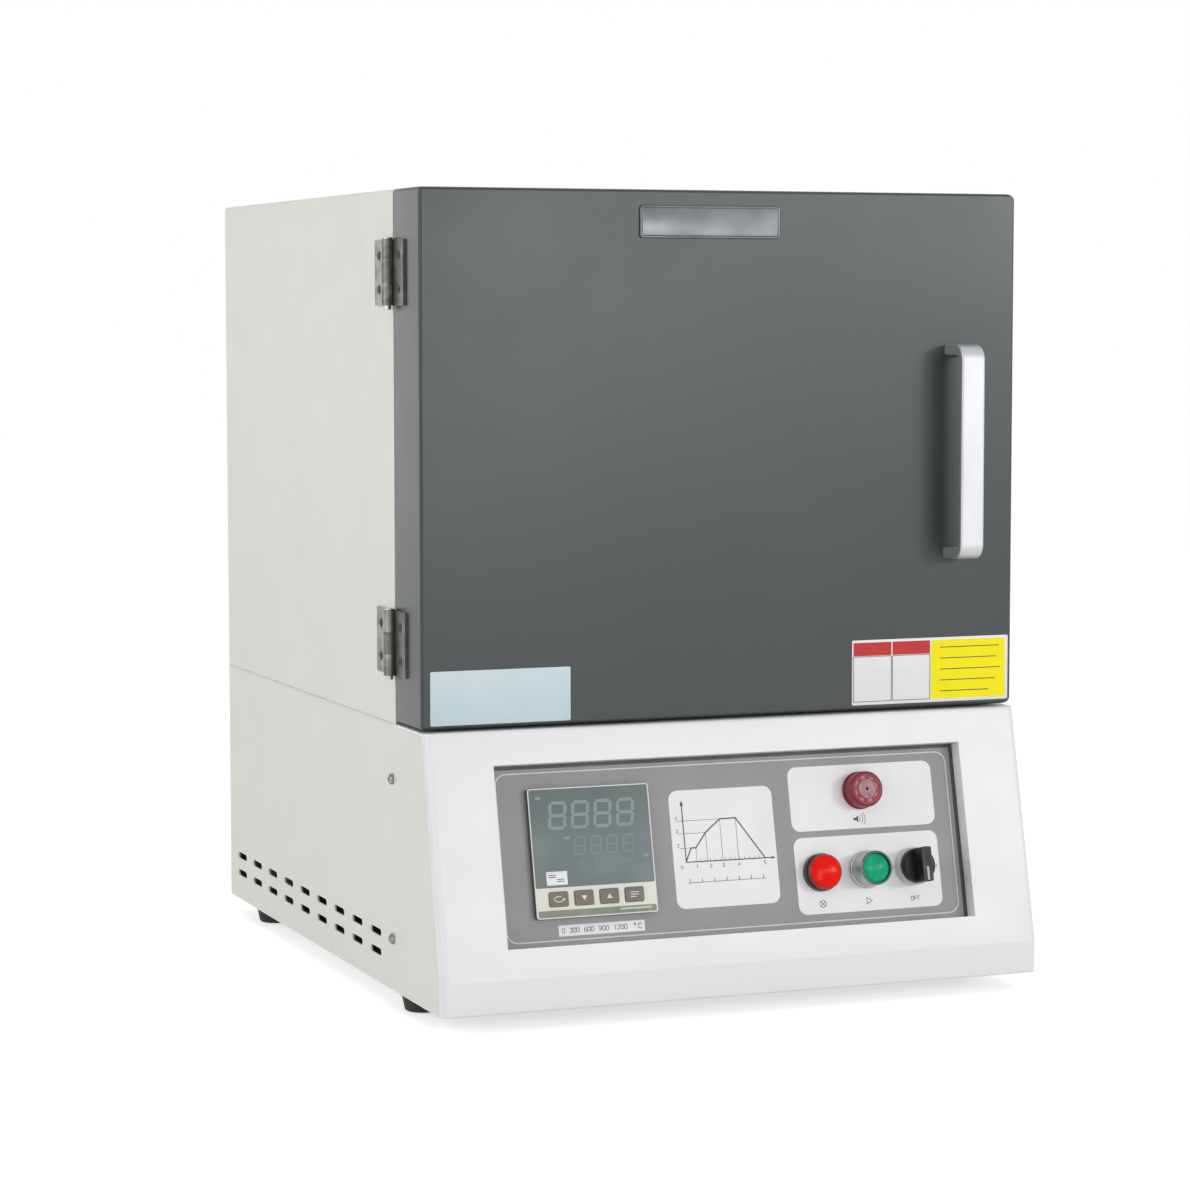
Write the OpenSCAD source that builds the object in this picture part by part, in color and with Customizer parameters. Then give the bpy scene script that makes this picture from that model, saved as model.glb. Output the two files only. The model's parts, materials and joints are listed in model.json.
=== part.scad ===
// Bench-top muffle furnace: an insulated chamber in a steel cabinet with a side-hinged door,
// standing on a control base with a sloped front.
// Millimetres. +Z is up and the door faces -Y.
// The origin lies on the bench under the middle of the furnace.

/* [Cabinet] */
// Width of the cabinet, the door and the base
cabinet_w = 484; // [470:1:520]
// Height of the cabinet above the base
cabinet_h = 396.5; // [386:0.5:430]
// Depth of the cabinet, from the casing's front edge to its back
cabinet_d = 469.5; // [460:0.5:510]
// Thickness of the casing's steel sheet
case_t = 1.5; // [1:0.1:2]
// Outside radius of the casing's two top bends
case_bend_r = 3; // [2.5:0.5:6]
// Thickness of the face plate round the mouth
face_t = 2; // [1.5:0.5:3]
// Gap round a sheet that slips inside another
slip = 0.2; // [0.1:0.05:0.3]

/* [Chamber] */
// Width of the chamber
chamber_w = 200; // [180:1:204]
// Height of the chamber
chamber_h = 200; // [190:1:204]
// Depth of the chamber behind the closed door's plug
chamber_d = 300; // [280:1:306]
// Thickness of the insulation under the chamber
floor_wall = 95; // [85:1:97]
// Air gap between the inner shell and the casing's sides
side_gap = 29.3; // [22:0.1:40]
// Air gap between the inner shell and the casing's top
roof_gap = 21.6; // [16:0.1:32]
// Air gap between the inner shell and the rear panel
rear_gap = 38.8; // [30:0.1:55]
// Thickness of the inner shell round the insulation
shell_t = 1.2; // [0.8:0.1:1.5]
// Thickness of the hearth plate
hearth_t = 10; // [6:1:14]
// Gap between the hearth plate and the chamber's walls
hearth_gap = 5; // [3:0.5:8]

/* [Heating] */
// Runs of wire in each side wall
heater_rows = 6; // [4:2:6]
// Height from one run to the next
heater_pitch = 28; // [24:1:30]
// Radius of the heating wire
wire_r = 2.5; // [2:0.1:3]
// Depth of the wire's surface under the wall's surface
wire_sink = 0.5; // [0.3:0.1:1]
// Gap between the wire and its groove
groove_gap = 0.3; // [0.2:0.05:0.6]
// Radius of the thermocouple's sheath
sheath_r = 4; // [3:0.5:5]
// Length of the sheath inside the chamber
sheath_reach = 20; // [15:1:30]
// Distance of the sheath under the chamber's roof
sheath_drop = 40; // [30:1:60]

/* [Door] */
// Depth of the door
door_d = 58; // [54:0.5:60]
// Gap between the closed door and the cabinet
door_gap = 2.7; // [2.6:0.1:3.4]
// Gap between the door and the base under it
door_lift = 2; // [1.5:0.5:4]
// Thickness of the door's sheet
door_t = 1.5; // [1:0.1:2]
// Radius of the door's corners at the handle side
free_corner_r = 7.5; // [4:0.5:12]
// Radius of the door's corners at the hinge side
hinge_corner_r = 2.5; // [2.5:0.5:6]
// Radius of the bends between the door's front and its sides
door_bend_r = 2.5; // [2.5:0.5:4]
// Thickness of the liner that closes the door's back
liner_t = 1.2; // [0.8:0.1:1.5]
// Reach of the door's plug into the mouth
plug_in = 28; // [20:1:32]
// Gap between the plug and the mouth's walls
plug_gap = 4; // [3.5:0.5:6]
// Width of the gasket's tape
gasket_w = 10; // [8:1:14]
// Gap that keeps the soft pieces clear of what they don't rest on
soft_gap = 0.3; // [0.3:0.1:0.5]

/* [Handle] */
// Width of the handle's bar
handle_w = 19.5; // [16:0.5:24]
// Length of the handle
handle_l = 164; // [140:1:190]
// Projection of the handle from the door
handle_out = 30; // [26:0.5:36]
// Thickness of the handle's bar
handle_t = 5; // [4:0.5:7]
// Outside radius of the handle's bends
handle_bend_r = 12; // [9:0.5:14]
// Distance from the handle's middle to the door's free edge
handle_inset = 50; // [36:1:70]
// Radius of the handle's screws
handle_screw_r = 2; // [1.5:0.1:2]

/* [Hinges] */
// Height of a hinge
hinge_h = 48.5; // [42:0.5:60]
// Distance of each hinge from the end of the cabinet
hinge_inset = 37; // [30:0.5:60]
// Thickness of a hinge leaf
leaf_t = 2; // [1.5:0.1:2.2]
// Width of the leaf on the cabinet
cabinet_leaf_w = 38; // [30:0.5:44]
// Width of the leaf on the door
door_leaf_w = 27; // [22:0.5:34]
// Outside radius of a hinge's knuckles
knuckle_r = 4.5; // [4.3:0.1:6]
// Radius of a hinge pin
pin_r = 2.5; // [2:0.1:2.8]
// Running clearance round a hinge pin
pin_gap = 0.05; // [0.03:0.01:0.08]
// Gap between one knuckle and the next
knuckle_gap = 0.3; // [0.2:0.05:0.5]

/* [Base] */
// Height of the base without its feet
base_h = 202.5; // [196:0.5:230]
// Distance that the base's top edge stands in front of the door
nose_lip = 6.3; // [4:0.1:12]
// Distance that the chin stands in front of the base's top edge
chin_out = 41.2; // [34:0.1:50]
// Height of the chin
chin_h = 25.5; // [20:0.5:32]
// Outside radius of the fascia's bends at the sides
fascia_corner_r = 6; // [3:0.5:9]
// Outside radius of the fascia's bends at the top and the chin
fascia_bend_r = 3; // [2.5:0.5:4]
// Width of the fascia's edge before the side plate starts
fascia_lap = 9; // [9:0.5:14]
// Depth of the fascia's flange under the base
fascia_flange = 20; // [15:1:26]
// Thickness of the floor pan
floor_t = 2; // [1.5:0.1:3]
// Radius of the pass for the heater leads in the deck
lead_pass_r = 14; // [10:0.5:15]

/* [Vents] */
// Vent slots in a row
vent_count = 9; // [7:1:9]
// Distance from one slot to the next
vent_pitch = 47.5; // [44:0.5:48]
// Length of a slot
vent_l = 26; // [20:0.5:32]
// Width of a slot
vent_w = 5.5; // [4:0.5:7]
// Rows of slots in each side plate
vent_rows = 2; // [1:1:2]
// Height from one row to the next
vent_rise = 15; // [12:0.5:18]
// Height of the lowest row above the base's bottom edge
vent_low = 23.5; // [18:0.5:28]
// Distance of the first slot's middle behind the casing's front edge
vent_first = 51; // [48:0.5:60]

/* [Feet] */
// Height of the feet
foot_h = 14.5; // [10:0.5:25]
// Radius of a foot at its top
foot_r = 17; // [14:0.5:19]
// Radius of a foot where it stands
foot_sole_r = 14; // [11:0.5:14]
// Distance of the front feet from the base's sides
foot_front_inset = 21; // [20:0.5:40]
// Distance of the rear feet from the base's sides
foot_rear_inset = 22; // [22:0.5:50]
// Distance of the rear feet in front of the cabinet's back
foot_rear_y = 66; // [40:0.5:80]
// Radius of a foot's stud
foot_stud_r = 3; // [2:0.5:4]

/* [Control panel] */
// Width of the recess in the fascia
recess_w = 381; // [376:1:400]
// Height of the recess
recess_h = 134.5; // [132:0.5:140]
// Depth of the recess
recess_d = 12.5; // [9:0.5:16]
// Distance of the recess from the base's top edge, along the slope
recess_drop = 25.3; // [22:0.1:28]
// Thickness of the panel plate
panel_t = 2; // [1.5:0.5:3]
// Width of the panel plate's edge behind the fascia
panel_edge = 12; // [8:0.5:14]

/* [Controller] */
// Side of the controller's square bezel
bezel_w = 96; // [94:0.5:98]
// Height of the bezel above the panel
bezel_h = 5; // [4:0.5:7]
// Side of the controller's body behind the panel
body_w = 91; // [88:0.5:92]
// Length of the controller's body behind the panel
body_d = 78; // [60:1:84]
// Distance of the controller's middle left of the recess's middle
controller_x = 115.5; // [110:0.5:120]
// Height of the controller's middle above the recess's middle
controller_y = 1.2; // [0:0.1:4]
// Height of the controller's window
window_h = 71; // [66:0.5:72]
// Width of a key
key_w = 15; // [12:0.5:16]
// Height of a key
key_h = 10.8; // [9:0.1:12]
// Distance from one key to the next
key_pitch = 20; // [18:0.5:20.5]
// Travel of a key
key_travel = 0.8; // [0.5:0.1:1]
// Radius of a key's stem
key_stem_r = 2; // [1.5:0.1:2.5]

/* [Panel devices] */
// Radius of the round devices' collars
collar_r = 14.4; // [14:0.1:15]
// Radius of the devices' barrels
barrel_r = 11; // [10.5:0.1:11.5]
// Length of the barrels behind the panel
barrel_l = 24; // [20:1:30]
// Gap between a barrel and what it passes through
barrel_gap = 0.15; // [0.1:0.05:0.3]
// Distance of the start button right of the recess's middle
device_x = 108; // [100:0.5:114]
// Distance from one device to the next
device_pitch = 38.8; // [34:0.1:40]
// Distance of the row of devices under the recess's middle
device_low = 25.7; // [20:0.1:32]
// Height of the buzzer above the recess's middle
buzzer_high = 34.8; // [28:0.1:40]
// Height of the lamp above the panel
lamp_h = 14; // [11:0.5:18]
// Height of the buzzer above the panel
buzzer_h = 15; // [12:0.5:20]
// Height of the start button's guard ring above the panel
guard_h = 19; // [16:0.5:22]
// Radius of the start button
button_r = 10.6; // [9:0.1:11]
// Travel of the start button
button_travel = 4; // [3:0.5:5]
// Height of the selector's collar
selector_collar_h = 8; // [6:0.5:10]
// Height of the selector's disc
selector_disc_h = 6; // [4:0.5:8]
// Height of the selector's grip
selector_grip_h = 13; // [9:0.5:13]
// Width of the selector's grip
selector_grip_w = 8; // [6:0.5:10]
// Radius of the stems that turn or slide in the barrels
stem_r = 8; // [6:0.1:8.5]
// Running clearance round a stem, a shaft or a key's stem
run_gap = 0.05; // [0.03:0.01:0.08]

/* [Cooling fan] */
// Side of the fan's square frame
fan_w = 80; // [76:1:92]
// Depth of the fan
fan_d = 25; // [22:1:32]
// Radius of the fan's duct
duct_r = 37.5; // [34:0.5:37.5]
// Gap between the blades and the duct
blade_gap = 1; // [0.7:0.1:2]
// Blades on the rotor
blade_count = 7; // [5:1:9]
// Distance of the fan's middle from the base's right side
fan_inset = 112; // [90:1:140]
// Height of the fan's middle above the base's bottom edge
fan_high = 110; // [80:1:120]
// Radius of the guard's wire
guard_wire_r = 1.2; // [1:0.1:1.5]

/* [Rear fittings] */
// Radius of the cable gland's bore
gland_bore_r = 5; // [4:0.5:6]
// Reach of the cable gland behind the cabinet
gland_out = 22; // [18:1:28]
// Distance of the gland from the base's left side
gland_inset = 92; // [60:1:140]
// Height of the gland above the base's bottom edge
gland_high = 50; // [40:1:80]
// Height of the heat sink
sink_h = 80; // [60:1:100]
// Depth of the heat sink
sink_d = 100; // [80:1:120]

/* [Hidden] */
$fn = 64;
cut = 1;
eps = 0.01;

// Corner of the frame: the cabinet's front edge and the base's top.
nose_y = door_gap + door_d + nose_lip;
chin_y = nose_y + chin_out;
mouth_y = (chin_y - cabinet_d - gland_out) / 2;
deck_z = foot_h + base_h;
half_w = cabinet_w / 2;
louvre_pitch = 40;
louvre_rise = 12;
louvre_w = 5;
inner_half = half_w - case_t - slip;

// Chamber, from the inner shell's corner at the deck and the face plate: the insulation fills the shell.
board_half = half_w - case_t - side_gap - shell_t;
board_h = cabinet_h - case_t - roof_gap - 2 * shell_t;
floor_z = shell_t + floor_wall;
roof_z = floor_z + chamber_h;
chamber_z = (floor_z + roof_z) / 2;
chamber_back = plug_in + chamber_d;
shell_back = cabinet_d - case_t - rear_gap;
board_back = shell_back - shell_t;
mouth_lip = 1;

// Heating wires.
heater_x = chamber_w / 2 + wire_sink + wire_r;
groove_w = 2 * (wire_r + groove_gap);
heater_front = plug_in + 30;
heater_back = chamber_back - 22;
lead_out = 14;
sheath_z = roof_z - sheath_drop;
sheath_l = shell_back - chamber_back + sheath_reach;
head_r = 18;
head_l = 14;

// Door.
door_back = -door_gap;
door_front = -door_gap - door_d;
door_mid_z = (door_lift + cabinet_h) / 2;
liner_front = door_back - liner_t;
plug_w = chamber_w - 2 * plug_gap;
plug_h = chamber_h - 2 * plug_gap;
gasket_in = 6;
gasket_t = door_gap - soft_gap;
handle_x = half_w - handle_inset;
handle_leg = 8;
handle_screw_up = (handle_l - handle_leg) / 2 - 0.5;
screw_head_r = 2 * handle_screw_r;
screw_head_h = 3;
screw_l = 9;
catch_x = half_w - 18;
catch_w = 12;
catch_l = 46;
catch_d = 12;
catch_gap = 0.3;
catch_ear = 3;

// Hinges: the axis runs beside the gap between door and cabinet.
hinge_x = -half_w - knuckle_r - slip;
hinge_y = -door_gap / 2;
hinge_zs = [hinge_inset, cabinet_h - hinge_inset - hinge_h];
knuckle_h = hinge_h / 3;
pin_tip = 3;
pin_head_r = 3.8;
pin_head_h = 1.5;

// Base.
slope_a = atan2(chin_out, base_h - chin_h);
lap_end = 4;
bottom_z = -base_h;
screw_y = 8.3;
side_screw_zs = [39.5, 160.5];
side_screw_r = 2;
side_head_r = 4.2;
side_head_h = 2;
angle_w = 20;
vent_zs = [for (i = [0 : vent_rows - 1]) bottom_z + vent_low + i * vent_rise];
foot_front = [half_w - foot_front_inset, 0];
foot_rear = [half_w - foot_rear_inset, cabinet_d - foot_rear_y];
foot_places = [for (side = [-1, 1], at = [foot_front, foot_rear]) [side * at.x, at.y]];
foot_rim = 2;
foot_nut_h = 3;

// Control panel: heights over the panel plate's front.
recess_mid = recess_drop + recess_h / 2;
hole_r = barrel_r + barrel_gap;
device_row = [for (i = [-1 : 1]) [device_x + i * device_pitch, -device_low]];
lamp_at = device_row[0];
start_at = device_row[1];
selector_at = device_row[2];
buzzer_at = [device_x, buzzer_high];
device_places = concat(device_row, [buzzer_at]);
ring_nut_h = 4;
block_size = [26, 30, 22];
window_w = bezel_w - 4;
window_t = 1.2;
window_up = (bezel_w - window_h) / 2 - 2;
key_row = -bezel_w / 2 + 14;
key_proud = 1;
key_t = 3;
key_sink = key_t - key_proud + key_travel + slip;
stem_drop = 1.2;
lamp_collar_h = 5;
buzzer_collar_h = 3;
guard_collar_h = 3;
button_floor = 5;
stem_in = 6;
slot_r = 7.8;
slot_w = 2.4;
guard_taper = 6;
guard_r = collar_r - 1.2;
selector_stem_r = stem_r - 2;
selector_stem_l = barrel_l - 8;
thrust_gap = 0.3;
selector_disc_r = collar_r - 1;

// Fan: heights run from the frame's inner face towards the back.
fan_x = half_w - fan_inset;
hub_r = 15;
motor_h = 4;
strut_w = 4;
fan_hole = (fan_w - 8.5) / 2;
shaft_r = 1.5;
rotor_start = motor_h + 0.4;
rotor_end = fan_d - 3;
blade_r = duct_r - blade_gap;
blade_t = 1.4;
blade_pitch = 38;
guard_rings = [12, 22, 32, 41];
guard_hub_r = 6;
guard_rise = 2.4 * guard_wire_r;
eyelet_r = 4.5;
eyelet_h = 2 * guard_wire_r;
frame_corner_r = 4;
fan_screw_r = 2;

// Cable gland and heat sink.
gland_x = half_w - gland_inset;
thread_r = gland_bore_r + 3;
thread_l = 9;
hex_r = gland_bore_r + 7;
hex_h = 6;
nut_h = 5;
sink_gap = [30, 90];
sink_x = fan_x - fan_w - sink_gap.x;
sink_y = cabinet_d - sink_d - sink_gap.y;
sink_t = 5;
fin_l = 22;
fin_t = 2;
fins = 9;
relay_size = [24, 45, 58];

// Frames.

// Cabinet frame: x = 0 in the middle, y = 0 at the casing's front edge, z = 0 on the base's top.
module in_cabinet() translate([0, mouth_y, deck_z]) children();

// Slope frame: x along the base's top front edge, y up the slope, z out of it.
module on_slope() in_cabinet() translate([0, -nose_y, 0]) rotate([90 - slope_a, 0, 0]) children();

// Panel frame: the middle of the panel plate's front face, or the point at [x, y] on it.
module on_panel(at = [0, 0]) on_slope() translate([at.x, at.y - recess_mid, -recess_d]) children();

// Hinge frame: the hinge's axis at the lower end of a hinge.
module at_hinge(z) in_cabinet() translate([hinge_x, hinge_y, z]) children();

// Fan frame: the middle of the fan's inner face, with z towards the back.
module at_fan() in_cabinet() translate([fan_x, cabinet_d - case_t - fan_d, bottom_z + fan_high])
  rotate([-90, 0, 0]) children();

// The right side as drawn, or its mirror image on the left.
module on_side(side) mirror([side > 0 ? 0 : 1, 0, 0]) children();

// Shapes.

// A 2D shape in x and z, run along y from 0 to d.
module along_y(d) translate([0, d, 0]) rotate([90, 0, 0]) linear_extrude(d) children();

// A 2D shape in y and z, run along x, w wide in the middle.
module along_x(w) rotate([90, 0, 90]) translate([0, 0, -w / 2]) linear_extrude(w) children();

function unit(v) = v / norm(v);

// A convex polygon whose corner i has the radius radii[i].
module rounded(points, radii) {
  n = len(points);
  turns = [for (i = [0 : n - 1]) let (
    to_last = unit(points[(i + n - 1) % n] - points[i]),
    to_next = unit(points[(i + 1) % n] - points[i]),
    half = acos(to_last * to_next) / 2
  ) [points[i], to_last, to_next, half, radii[i]]];
  polygon([for (t = turns) for (way = t[4] > 0 ? [t[1], t[2]] : [t[1] * 0]) t[0] + way * t[4] / tan(t[3])]);
  for (t = turns) if (t[4] > 0)
    translate(t[0] + unit(t[1] + t[2]) * t[4] / sin(t[3])) circle(t[4]);
}

// A rectangle about the origin with one corner radius.
module rounded_rect(w, h, r) rounded([[-w, -h] / 2, [w, -h] / 2, [w, h] / 2, [-w, h] / 2], [r, r, r, r]);

// A body turned about z, from radius r0 at z0 to r1 at z1, with the rims rounded.
module turned(r0, z0, r1, z1, rim_0, rim_1)
  rotate_extrude() rounded([[0, z0], [r0, z0], [r1, z1], [0, z1]], [0, rim_0, rim_1, 0]);

// An arch that stands on z = -below, with rounded top corners.
module arch(half, h, r, below = 0)
  rounded([[-half, -below], [half, -below], [half, h], [-half, h]], [0, 0, r, r]);

// The base's side view, set in by i all round: y to the back, z up, open towards back_y.
function base_view(i, back_y) = [
  [back_y, -i],
  [-nose_y + i * tan((90 - slope_a) / 2), -i],
  [-chin_y + i, -base_h + chin_h - i * tan(slope_a / 2)],
  [-chin_y + i, -base_h + i],
  [back_y, -base_h + i]
];

// Cabinet.

module outer_casing() color("#d6d8cf") in_cabinet() along_y(cabinet_d) difference() {
  arch(half_w, cabinet_h, case_bend_r);
  arch(half_w - case_t, cabinet_h - case_t, case_bend_r - case_t, cut);
}

// The outline of a plate that slips inside the casing.
module inside_casing() arch(inner_half, cabinet_h - case_t - slip, case_bend_r - case_t);

module rear_panel() color("#d6d8cf") in_cabinet() translate([0, cabinet_d - case_t, 0])
  along_y(case_t) difference() {
    inside_casing();
    for (z = [0.12, 0.88] * cabinet_h, i = [-4 : 4], row = [-1 : 1])
      translate([i * louvre_pitch, z + row * louvre_rise])
        rounded_rect(vent_l, louvre_w, louvre_w / 2 - 0.1);
  }

module face_plate() color("#b9babb") in_cabinet() along_y(face_t) difference() {
  inside_casing();
  translate([0, chamber_z])
    square([chamber_w + 2 * mouth_lip, chamber_h + 2 * mouth_lip], center = true);
  translate([catch_x, door_mid_z]) square([catch_w + 2 * slip, catch_l + 2 * slip], center = true);
}

module inner_shell() color("#9a9c9d") in_cabinet() difference() {
  translate([-board_half - shell_t, face_t, 0])
    cube([2 * (board_half + shell_t), shell_back - face_t, board_h + 2 * shell_t]);
  translate([-board_half, face_t - cut, shell_t])
    cube([2 * board_half, board_back - face_t + cut, board_h]);
  for (side = [-1, 1]) on_side(side) heater_leads(wire_r + 1);
  sheath_bore();
}

// Chamber.

// A board of the insulation between two corners.
module board(from, to) color("#efece4") in_cabinet() translate(from) cube(to - from);

module insulation_floor() board([-board_half, face_t, shell_t], [board_half, chamber_back, floor_z]);

module insulation_roof()
  board([-board_half, face_t, roof_z], [board_half, chamber_back, shell_t + board_h]);

module insulation_side(side) on_side(side) difference() {
  board([chamber_w / 2, face_t, floor_z], [board_half, chamber_back, roof_z]);
  in_cabinet() heater_groove();
}

module insulation_rear() difference() {
  board([-board_half, chamber_back, shell_t], [board_half, board_back, shell_t + board_h]);
  in_cabinet() for (side = [-1, 1]) on_side(side) heater_leads(wire_r + groove_gap);
  in_cabinet() sheath_bore();
}

function heater_z(i) = chamber_z + (i - (heater_rows - 1) / 2) * heater_pitch;

// Half turns that join the runs, one profile each, drawn about the wire's own line.
module heater_turns() for (i = [0 : heater_rows - 2]) {
  at_front = i % 2 == 0;
  translate([0, at_front ? heater_front : heater_back, (heater_z(i) + heater_z(i + 1)) / 2])
    rotate([at_front ? 180 : 0, 90, 0]) rotate_extrude(angle = 180) children();
}

// The two leads that pass through the rear board.
module heater_leads(r) for (i = [0, heater_rows - 1])
  translate([heater_x, heater_back, heater_z(i)]) rotate([-90, 0, 0])
    cylinder(r = r, h = shell_back + lead_out - heater_back);

module heater(side) color("#6f6a66") in_cabinet() on_side(side) {
  for (i = [0 : heater_rows - 1]) translate([heater_x, heater_front, heater_z(i)])
    rotate([-90, 0, 0]) cylinder(r = wire_r, h = heater_back - heater_front);
  translate([heater_x, 0, 0]) heater_turns() translate([heater_pitch / 2, 0]) circle(wire_r);
  heater_leads(wire_r);
}

// The groove that takes the wire, open to the chamber.
module heater_groove() {
  depth = wire_sink + wire_r + groove_w / 2;
  for (i = [0 : heater_rows - 1]) {
    groove_end = i == 0 || i == heater_rows - 1 ? chamber_back + cut : heater_back;
    translate([chamber_w / 2 - cut, heater_front, heater_z(i) - groove_w / 2])
      cube([depth + cut, groove_end - heater_front, groove_w]);
  }
  for (i = [0 : heater_rows - 2]) {
    at_front = i % 2 == 0;
    turn_y = at_front ? heater_front : heater_back;
    translate([chamber_w / 2 - cut, turn_y, (heater_z(i) + heater_z(i + 1)) / 2])
      rotate([0, 90, 0]) rotate([0, 0, at_front ? 180 : 0]) rotate_extrude(angle = 180)
        translate([(heater_pitch - groove_w) / 2, 0]) square([groove_w, depth + cut]);
  }
}

module hearth_plate() color("#cfc6b4") in_cabinet()
  translate([-chamber_w / 2 + hearth_gap, plug_in + hearth_gap, floor_z])
    cube([chamber_w - 2 * hearth_gap, chamber_d - 2 * hearth_gap, hearth_t]);

// The hole that the sheath passes through.
module sheath_bore() translate([0, chamber_back - cut, sheath_z]) rotate([-90, 0, 0])
  cylinder(r = sheath_r + groove_gap, h = shell_back - chamber_back + 2 * cut);

module thermocouple() color("#e8e0d0") in_cabinet() translate([0, chamber_back - sheath_reach, sheath_z])
  rotate([-90, 0, 0]) {
    translate([0, 0, sheath_r]) sphere(sheath_r);
    translate([0, 0, sheath_r]) cylinder(r = sheath_r, h = sheath_l - sheath_r + eps);
    translate([0, 0, sheath_l]) cylinder(r = head_r, h = head_l);
  }

module door_catch() color("#3b3d40") in_cabinet() translate([catch_x, 0, door_mid_z]) {
  translate([-catch_w / 2, -door_gap + catch_gap, -catch_l / 2])
    cube([catch_w, catch_d + door_gap - catch_gap, catch_l]);
  translate([-catch_w / 2 - catch_ear, face_t, -catch_l / 2 - 2 * catch_ear])
    cube([catch_w + 2 * catch_ear, 2, catch_l + 4 * catch_ear]);
}

// Hinges.

// Knuckle k of three, counted from below: over longer where it meets another, end longer at a hinge's end.
module knuckle(k, r, over, end) {
  low = k > 0 ? over : end;
  high = k < 2 ? over : end;
  translate([0, 0, k * knuckle_h - low]) cylinder(r = r, h = knuckle_h + low + high);
}

// A leaf that reaches reach past the axis, towards the cabinet (way = 1) or the door (way = -1).
// own lists the knuckles that belong to it, counted from below.
module hinge_leaf(way, reach, own) difference() {
  union() {
    difference() {
      translate([knuckle_r + slip - leaf_t, way > 0 ? 0 : -reach, 0]) cube([leaf_t, reach, hinge_h]);
      for (k = [0 : 2]) if (len(search(k, own)) == 0)
        knuckle(k, knuckle_r + knuckle_gap, knuckle_gap / 2, cut);
    }
    for (k = own) knuckle(k, knuckle_r, -knuckle_gap / 2, 0);
  }
  translate([0, 0, -cut]) cylinder(r = pin_r + pin_gap, h = hinge_h + 2 * cut);
}

module cabinet_leaf(z) color("#a9abad") at_hinge(z) hinge_leaf(1, cabinet_leaf_w + door_gap / 2, [0, 2]);

module door_leaf(z) color("#a9abad") at_hinge(z) hinge_leaf(-1, door_leaf_w + door_gap / 2, [1]);

module hinge_pins() color("#c4c6c8") for (z = hinge_zs) at_hinge(z) {
  translate([0, 0, -pin_tip]) cylinder(r = pin_r, h = hinge_h + pin_tip + eps);
  translate([0, 0, hinge_h]) cylinder(r = pin_head_r, h = pin_head_h);
}

// Base.

// The bent body of the base's front, set in by i: its side view cut to the bends at the two sides.
module base_front(i) intersection() {
  in_cabinet() along_x(cabinet_w + 2 * cut) rounded(base_view(i, cut), [
    0, fascia_bend_r - i, fascia_bend_r - i, fascia_bend_r - i, 0
  ]);
  on_slope() rotate([90, 0, 0]) translate([0, 0, -base_h]) linear_extrude(3 * base_h)
    front_outline(i, base_h);
  in_cabinet() translate([0, 0, -base_h - cut]) linear_extrude(base_h + 2 * cut)
    mirror([0, 1]) translate([0, chin_y]) front_outline(i, chin_y + 4 * cut);
}

// A plan of the front whose outer face lies on y = 0, with the two side bends.
module front_outline(i, depth)
  rounded([[-half_w + i, -depth], [half_w - i, -depth], [half_w - i, -i], [-half_w + i, -i]],
    [0, 0, fascia_corner_r - i, fascia_corner_r - i]);

// What the side plate covers, in y and z; over runs past its free edges.
module side_view(over) {
  edge = base_view(fascia_lap, cabinet_d + over);
  polygon([
    [cabinet_d + over, -case_t], [edge[1].x + (edge[1].y + case_t) * tan(slope_a), -case_t],
    edge[2], [edge[3].x, bottom_z - over], [cabinet_d + over, bottom_z - over]
  ]);
}

module fascia() color("#e9e9ea") {
  difference() {
    base_front(0);
    base_front(case_t);
    for (side = [-1, 1]) on_side(side) in_cabinet() translate([half_w - case_t / 2 + cut / 2, 0, 0])
      along_x(case_t + 2 * slip + cut) side_view(cut);
    in_cabinet() translate([-half_w - cut, -chin_y + fascia_flange, bottom_z - cut])
      cube([cabinet_w + 2 * cut, chin_y, case_t + 2 * cut]);
    in_cabinet() translate([-half_w - cut, -lap_end, -base_h])
      cube([cabinet_w + 2 * cut, chin_y, 2 * base_h]);
    on_panel() linear_extrude(recess_d + cut) square([recess_w, recess_h], center = true);
  }
  on_panel() linear_extrude(recess_d - case_t / 2) difference() {
    square([recess_w + 2 * case_t, recess_h + 2 * case_t], center = true);
    square([recess_w, recess_h], center = true);
  }
}

module base_side(side) color("#d6d8cf") on_side(side) in_cabinet() translate([half_w - case_t / 2, 0, 0])
  along_x(case_t) difference() {
    side_view(0);
    for (z = vent_zs, i = [0 : vent_count - 1])
      translate([vent_first + i * vent_pitch, z]) rounded_rect(vent_l, vent_w, vent_w / 2 - eps);
    for (z = side_screw_zs) translate([screw_y, bottom_z + z]) circle(side_screw_r + slip);
  }

module deck_plate() color("#d6d8cf") in_cabinet() difference() {
  translate([-half_w, -lap_end, -case_t]) cube([cabinet_w, cabinet_d + lap_end, case_t]);
  translate([0, (shell_back + cabinet_d) / 2, -case_t - cut])
    cylinder(r = lead_pass_r, h = case_t + 2 * cut);
}

module floor_pan() color("#b9babb") in_cabinet() difference() {
  translate([-inner_half, -chin_y + fascia_flange, bottom_z])
    cube([2 * inner_half, chin_y - fascia_flange + cabinet_d - case_t, floor_t]);
  for (at = foot_places) translate([at.x, at.y, bottom_z - cut])
    cylinder(r = foot_stud_r + slip, h = floor_t + 2 * cut);
}

module base_rear_panel() color("#d6d8cf") in_cabinet() translate([0, cabinet_d - case_t, 0])
  along_y(case_t) difference() {
    translate([-inner_half, bottom_z]) square([2 * inner_half, base_h - case_t]);
    translate([fan_x, bottom_z + fan_high]) {
      circle(duct_r);
      for (x = [-1, 1], z = [-1, 1]) translate([x, z] * fan_hole) circle(fan_screw_r);
    }
    translate([-gland_x, bottom_z + gland_high]) circle(thread_r + slip);
  }

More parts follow.
